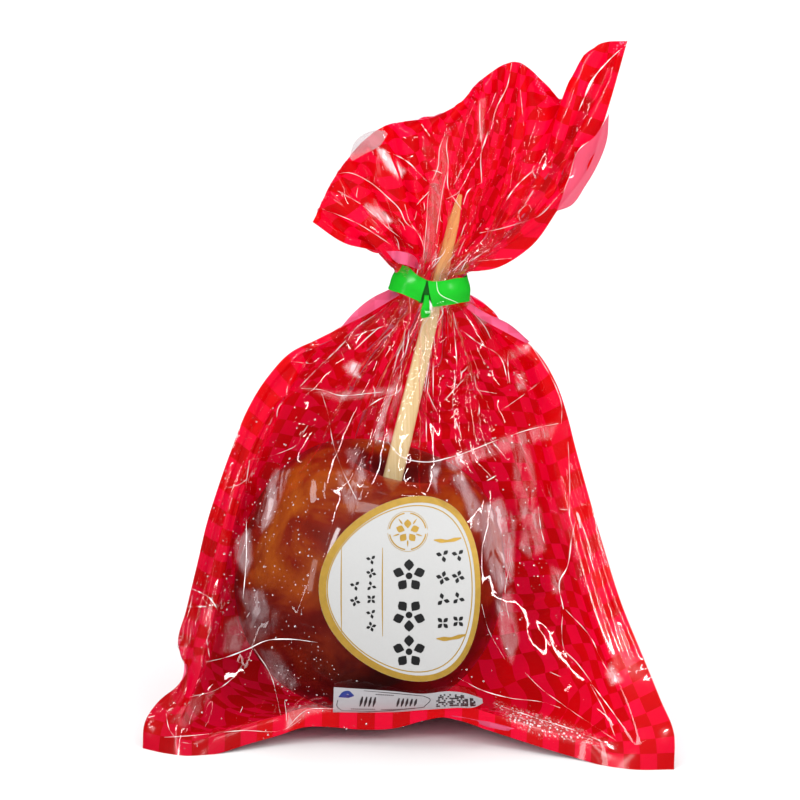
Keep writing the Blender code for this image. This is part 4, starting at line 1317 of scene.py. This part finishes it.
def make_label(fit):
    """An oval paper label with a gold rim and ring, upright gold lines, and blossoms and leaves in black."""
    steps = np.linspace(-1, 1, 61)
    a, b = np.meshgrid(steps, steps)
    p, q = a * np.sqrt(1 - b * b / 2), b * np.sqrt(1 - a * a / 2)
    places = np.hypot(p, q)[..., None] * egg(np.arctan2(q, p)) + LABEL_CENTRE
    paper = simple("white paper", (0.46, 0.46, 0.455), 0.42, 0.03, 1.5)
    piece = sheet_piece("label_paper", places, fit, LABEL_CENTRE, LABEL_HALF, 0.06, 0.2, paper, "paper")
    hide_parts("label")

    def at(x, up):
        return LABEL_CENTRE + np.array([x, up])

    def rim(turns):
        return 1.95 - 0.3 * np.cos(turns) + 0.1 * np.sin(turns)

    gold_shapes = [arc(LABEL_CENTRE, egg, rim, 0, 180), arc(LABEL_CENTRE, egg, rim, 180, 360)]
    for start in (0, 180):
        gold_shapes.append(arc(LABEL_CENTRE, lambda turns: 0.902 * egg(turns), 0.32, start, start + 180))
    ring = at(2.4, 17.2)
    gold_shapes += [arc(ring, 6.05, 0.14, 5, 175), arc(ring, 6.05, 0.14, 185, 355)]
    gold_shapes += [arc(ring, 5.65, 0.38, start, start + 72) for start in (10, 100, 190, 280)]
    gold_shapes += petals(ring, 3.6, 5, 2.3) + petals(ring, 4.6, 5, 0.5, 54, 0.7)
    gold_shapes += [
        stroke([at(10.2, 14.6), at(14, 14.3), at(18.4, 15.2)], (0.3, 1.3, 0.7, 1.2, 0.4)),
        stroke([at(11.0, -14.9), at(15, -14.9), at(19.8, -13.7)], (0.3, 1.4, 0.8, 1.3, 0.4)),
    ]
    for x in (-17.4, -5.1):
        gold_shapes.append(stroke([at(x, 12.3), at(x - 0.1, 0), at(x, -14.2)], (0.18, 0.36, 0.36, 0.15)))
    gold = simple("gold print", (0.50, 0.30, 0.045), 0.38, 0.22, 0.5, 0.35)
    printed("label_gold", gold_shapes, fit, LABEL_CENTRE, LABEL_HALF, 0.27, gold, "paper")

    black_shapes = []
    for up, turn in ((3.9, 90), (-7.8, 126), (-18.8, 90)):
        black_shapes += petals(at(2.8, up), 5.0, 5, 3.1, turn, 0.3)
        black_shapes += [arc(at(2.8, up), 1.0, 1.0, 0, 180), arc(at(2.8, up), 1.0, 1.0, 180, 360)]
    columns = (
        (12.9, (10.0, 3.3, -3.3, -10.2), 2.1), (17.5, (10.2, 3.6, -2.9, -9.7), 2.0),
        (-8.5, (8.8, 4.7, 0.8, -3.1, -7.4, -11.3), 1.55), (-13.3, (1.0, -3.7), 1.6),
    )
    for x, ups, size in columns:
        for k, up in enumerate(ups):
            black_shapes += petals(at(x, up), size, 4 if k % 2 else 3, 0.62 * size, 45 + 30 * k, 0.12)
    black = simple("black print", (0.012, 0.012, 0.013), 0.45, 0.3, 0.8)
    printed("label_black", black_shapes, fit, LABEL_CENTRE, LABEL_HALF, 0.27, black, "paper")


def make_sticker(fit):
    """A narrow paper strip whose right end runs out to a point, with a frame, bars and a dotted patch."""
    base = STICKER_CENTRE - np.array([0.0, 2.6])
    top = base + spline(((-22.2, 6.6), (-3.4, 5.3), (4.2, 4.6), (12.5, 5.4), (17, 4.9), (22.2, 3.2)), 81)
    low = base + spline(((-22.5, -1.1), (-4.8, -1.1), (4.2, -0.4), (14, 0.3), (20.7, 0.8), (22.4, 1.8)), 81)
    steps = np.linspace(0, 1, 13)[:, None, None]
    places = low + steps * (top - low)
    paper = simple("grey-white paper", (0.47, 0.47, 0.49), 0.32, 0.08, 0.4)
    piece = sheet_piece("sticker_paper", places, fit, STICKER_CENTRE, STICKER_HALF, 0.06, 0.15, paper, "paper")
    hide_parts("sticker")

    def at(share, rise):
        column = share * 80
        i = min(int(column), 79)
        bottom = low[i] + (low[i + 1] - low[i]) * (column - i)
        upper = top[i] + (top[i + 1] - top[i]) * (column - i)
        return bottom + rise * (upper - bottom)

    ink = [
        stroke([at(0.20, 0.93), at(0.42, 0.90), at(0.60, 0.86)], (0.12, 0.22, 0.2)),
        stroke([at(0.60, 0.86), at(0.645, 0.62), at(0.60, 0.16)], (0.2, 0.22, 0.2)),
        stroke([at(0.60, 0.16), at(0.33, 0.07), at(0.06, 0.07)], (0.2, 0.22, 0.12)),
        stroke([at(0.06, 0.07), at(0.025, 0.25), at(0.03, 0.5)], (0.12, 0.22, 0.2)),
    ]
    for start, count in ((0.185, 4), (0.43, 5)):
        for k in range(count):
            share = start + 0.029 * k
            ink.append(stroke([at(share - 0.008, 0.26), at(share, 0.45), at(share + 0.008, 0.68)], (0.3, 0.85, 0.35)))
    for rise, first, last in ((0.15, 0.12, 0.27), (0.13, 0.32, 0.54), (0.80, 0.28, 0.40)):
        for share in np.arange(first, last, 0.0125):
            ink.append(stroke([at(share, rise), at(share + 0.004, rise), at(share + 0.008, rise)], (0.3, 0.34, 0.3)))
    draw = np.random.default_rng(3)
    for share in np.arange(0.685, 0.945, 0.0125):
        for rise in np.arange(0.16, 0.84, 0.105):
            if draw.uniform() < 0.62 and share > 0.66 + 0.05 * rise and rise < 0.9 - 1.6 * (share - 0.8):
                ink.append(stroke([at(share, rise), at(share + 0.006, rise), at(share + 0.012, rise)], (0.42, 0.46, 0.42)))
    black = simple("grey print", (0.03, 0.03, 0.034), 0.4, 0.3, 0.8)
    printed("sticker_ink", ink, fit, STICKER_CENTRE, STICKER_HALF, 0.22, black, "paper")
    blue = [stroke([at(0.035, 0.62), at(0.08, 0.74), at(0.135, 0.70)], (0.2, 1.9, 2.3, 0.3))]
    ink = simple("blue print", (0.02, 0.055, 0.30), 0.4, 0.3, 0.8)
    printed("sticker_blue", blue, fit, STICKER_CENTRE, STICKER_HALF, 0.23, ink, "paper")


TIE_HALF = np.array([11.3, 8.3])
TIE_HEIGHTS = (  # the middle of the ribbon round the neck, by angle
    (-97, 133.0), (-90, 132.5), (-45, 133.0), (0, 131.8), (90, 134.0), (180, 135.9), (225, 136.3), (258, 133.4), (263, 133.0),
)


def ribbon_ring(starts, ends, width, reach_in, stations):
    """A stretch of the ribbon round the neck as a thin closed band. Its ends are slanted: starts and ends are
    the angles at its lower and upper edges."""
    across = 13
    s = np.linspace(-0.5, 0.5, across)
    t = np.linspace(0, 1, stations)[:, None]
    low, high = np.interp(s, (-0.5, 0.5), starts), np.interp(s, (-0.5, 0.5), ends)
    degrees = low + t * (high - low)
    turns = np.radians(degrees)
    table = np.array(TIE_HEIGHTS)
    height = np.interp(degrees, table[:, 0], table[:, 1])
    for _ in range(12):
        height[1:-1] = (height[:-2] + height[1:-1] + height[2:]) / 3
    tilt = 0.4 + 1.4 * eased(-np.cos(turns), 0.3, 0.95)
    bow = 0.28 * np.cos(2 * math.pi * s)[None] + 0.22 * np.sin(9 * turns) * s - 2 * tilt * s
    layers = []
    for lift in (0.12, -0.12):
        reach = TIE_HALF + (bow + lift - reach_in)[..., None]
        flat = NECK_CENTRE[:2] + reach * np.stack([np.cos(turns), np.sin(turns)], axis=-1)
        layers.append(np.concatenate([flat, (height + width * s)[..., None]], axis=-1))
    rows, columns = layers[0].shape[:2]
    faces = grid_faces(rows, columns) + grid_faces(rows, columns, rows * columns, True) + rim_faces(rows, columns)
    return np.concatenate([layer.reshape(-1, 3) for layer in layers]), faces


def twisted_strip(foot, head, widths, thick, turn):
    """A short twisted strip of ribbon hanging in front of the neck, between two places in the frame."""
    stations = 15
    share = np.linspace(0, 1, stations)
    line = foot + share[:, None] * (head - foot)
    angle = np.radians(np.interp(share, (0, 1), (turn, 0)))
    half = np.interp(share, np.linspace(0, 1, len(widths)), widths)[:, None] / 2
    way = np.stack([np.cos(angle), np.sin(angle), 0 * angle], axis=-1)
    out = np.stack([-np.sin(angle), np.cos(angle), 0 * angle], axis=-1)
    corners = ((-1, -0.6), (-0.6, -1), (0.6, -1), (1, -0.6), (1, 0.6), (0.6, 1), (-0.6, 1), (-1, 0.6))
    rings = np.stack([line + a * half * way + b * thick / 2 * out for a, b in corners], axis=1)
    at = np.arange(stations * 8).reshape(stations, 8)
    beside = np.roll(at, -1, axis=1)
    faces = np.stack([at[:-1], beside[:-1], beside[1:], at[1:]], axis=-1).reshape(-1, 4).tolist()
    return rings.reshape(-1, 3), faces + [at[0][::-1].tolist(), at[-1].tolist()]


def make_tie():
    """A green ribbon whose two ends meet in a slanted fold in front, twisted together below it. The stretch in the fold
    is a darker green, painted shade.
    """
    green = simple("green ribbon", (0.006, 0.46, 0.014), 0.24, 0.10, 0.25)
    # Painted shade: a darker copy of the green for the ribbon in the fold.
    painted_shade = simple("green ribbon with painted shade in the fold", (0.002, 0.13, 0.006), 0.35, 0.2, 0.5)
    front = NECK_CENTRE[1] - TIE_HALF[1]
    band = ribbon_ring((-88.5, -96.1), (253.0, 262.4), 7.6, 0.0, 180)
    fold = ribbon_ring((-112.0, -104.0), (-80.0, -88.0), 7.0, 0.9, 12)
    tail = twisted_strip(np.array([5.2, front - 0.5, 125.6]), np.array([5.6, front - 0.3, 132.3]), (2.9, 3.1, 1.8, 1.4), 1.3, 35)
    points, faces = gathered([band, tail, fold])
    slots = [0] * (len(band[1]) + len(tail[1])) + [1] * len(fold[1])
    piece = mesh_piece("ribbon_tie", points, faces, [green, painted_shade], "ribbon", slots)
    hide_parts("tie")
    # A small whitish strip on the twist.
    paper = twisted_strip(
        np.array([6.9, front - 0.35, 127.8]), np.array([5.9, front - 0.15, 131.2]), (0.7, 1.5, 0.6), 0.6, 20
    )
    mesh_piece("ribbon_whitish_strip", *paper, [simple("whitish strip on the tie's twist", (0.78, 0.76, 0.74), 0.5, 0.05, 1.0)], "ribbon")
    tree = BVHTree.FromPolygons(points.tolist(), faces)
    # A pale green-white thread along a crease on the ribbon's right end.
    line = on_film(tree, TIE_CREASE, 0.5, 0.05)
    crease = tube(line, 0.13 * np.sin(math.pi * np.linspace(0.05, 0.95, len(line))) ** 0.4)
    mesh_piece("ribbon_crease", *crease, [simple("pale line on the ribbon", (0.62, 0.85, 0.60), 0.3, 0.05, 1.0)], "ribbon")


# ---------------------------------------------------------------- camera, light and floor

CAMERA_LENS = 960.0
CAMERA_SENSOR = 36.0
PICTURE_WIDTH = 0.24


def make_camera():
    data = bpy.data.cameras.new("camera")
    data.lens = CAMERA_LENS
    data.sensor_width = CAMERA_SENSOR
    data.clip_start = 0.05
    made = bpy.data.objects.new("camera", data)
    bpy.context.scene.collection.objects.link(made)
    aim = Vector((-2.4, SHIFT[1], 97.3)) * MM
    back = Vector((0, -math.cos(LEAN), math.sin(LEAN)))
    made.location = aim + back * PICTURE_WIDTH * CAMERA_LENS / CAMERA_SENSOR
    made.rotation_mode = "QUATERNION"
    made.rotation_quaternion = (-back).to_track_quat("-Z", "Y")
    bpy.context.scene.camera = made


ROOM_BRIGHTEST = (0.12, -0.35, 0.93)
ROOM_HIGH = 1.75
ROOM_LOW = 0.3


def make_lights():
    aim = Vector((0, 0, 0.09))
    for place, wide, tall, power in (
        ((-0.9, -1.0, 0.9), 0.10, 0.6, 4.7),
        ((0.95, -0.8, 0.75), 0.08, 0.6, 3.4),
        ((-0.1, -0.5, 1.5), 0.5, 0.3, 3.0),
        ((-1.2, -0.9, 0.25), 0.12, 0.5, 0.9),
        ((0.5, -1.2, 1.1), 0.35, 0.12, 1.6),
        ((0.1, 0.6, 1.6), 0.5, 0.5, 5.0),
    ):
        lamp = bpy.data.lights.new("soft light", "AREA")
        lamp.shape = "RECTANGLE"
        lamp.size = wide
        lamp.size_y = tall
        lamp.energy = power
        made = bpy.data.objects.new("soft light", lamp)
        made.location = place
        made.rotation_mode = "QUATERNION"
        made.rotation_quaternion = (aim - Vector(place)).to_track_quat("-Z", "Y")
        bpy.context.scene.collection.objects.link(made)
    world = bpy.data.worlds.new("pale room")
    world.use_nodes = True
    tree = world.node_tree
    room = tree.nodes["Background"]
    room.inputs["Color"].default_value = (1, 1, 1, 1)
    way, towards = tree.nodes.new("ShaderNodeTexCoord"), tree.nodes.new("ShaderNodeVectorMath")
    towards.operation = "DOT_PRODUCT"
    towards.inputs[1].default_value = ROOM_BRIGHTEST
    brighter = tree.nodes.new("ShaderNodeMapRange")
    for socket, value in (("From Min", 0.0), ("From Max", 1.0), ("To Min", ROOM_LOW), ("To Max", ROOM_HIGH)):
        brighter.inputs[socket].default_value = value
    tree.links.new(way.outputs["Generated"], towards.inputs[0])
    tree.links.new(towards.outputs["Value"], brighter.inputs["Value"])
    tree.links.new(brighter.outputs[0], room.inputs["Strength"])
    seen_directly = tree.nodes.new("ShaderNodeBackground")
    seen_directly.inputs["Color"].default_value = (1, 1, 1, 1)
    seen_directly.inputs["Strength"].default_value = 1.0
    mirrored = tree.nodes.new("ShaderNodeBackground")
    mirrored.inputs["Strength"].default_value = 0.04
    path = tree.nodes.new("ShaderNodeLightPath")
    soft, mix = tree.nodes.new("ShaderNodeMixShader"), tree.nodes.new("ShaderNodeMixShader")
    tree.links.new(path.outputs["Is Glossy Ray"], soft.inputs[0])
    tree.links.new(room.outputs[0], soft.inputs[1])
    tree.links.new(mirrored.outputs[0], soft.inputs[2])
    tree.links.new(path.outputs["Is Camera Ray"], mix.inputs[0])
    tree.links.new(soft.outputs[0], mix.inputs[1])
    tree.links.new(seen_directly.outputs[0], mix.inputs[2])
    tree.links.new(mix.outputs[0], tree.nodes["World Output"].inputs["Surface"])
    bpy.context.scene.world = world
    bpy.context.scene.view_settings.view_transform = "Standard"


def make_floor():
    n = Nodes("white floor")
    n.set(Base_Color=(0.76, 0.76, 0.76, 1), Roughness=0.9)
    mesh = bpy.data.meshes.new("floor")
    reach = 6.0
    mesh.from_pydata([(-reach, -reach, 0), (reach, -reach, 0), (reach, reach, 0), (-reach, reach, 0)], [], [(0, 1, 2, 3)])
    mesh.materials.append(n.material)
    floor = bpy.data.objects.new("floor", mesh)
    floor.visible_glossy = False
    bpy.context.scene.collection.objects.link(floor)


def main():
    make_camera()
    make_lights()
    make_floor()
    make_apple()
    make_stick()
    make_tie()
    front, flat, fits, tree = make_film(relaxed_film())
    make_creases(front, flat, tree)
    make_drops(front)
    make_turned_edges(tree)
    make_label(fits[0])
    make_sticker(fits[1])
    bpy.context.scene.cycles.transparent_max_bounces = 40


main()
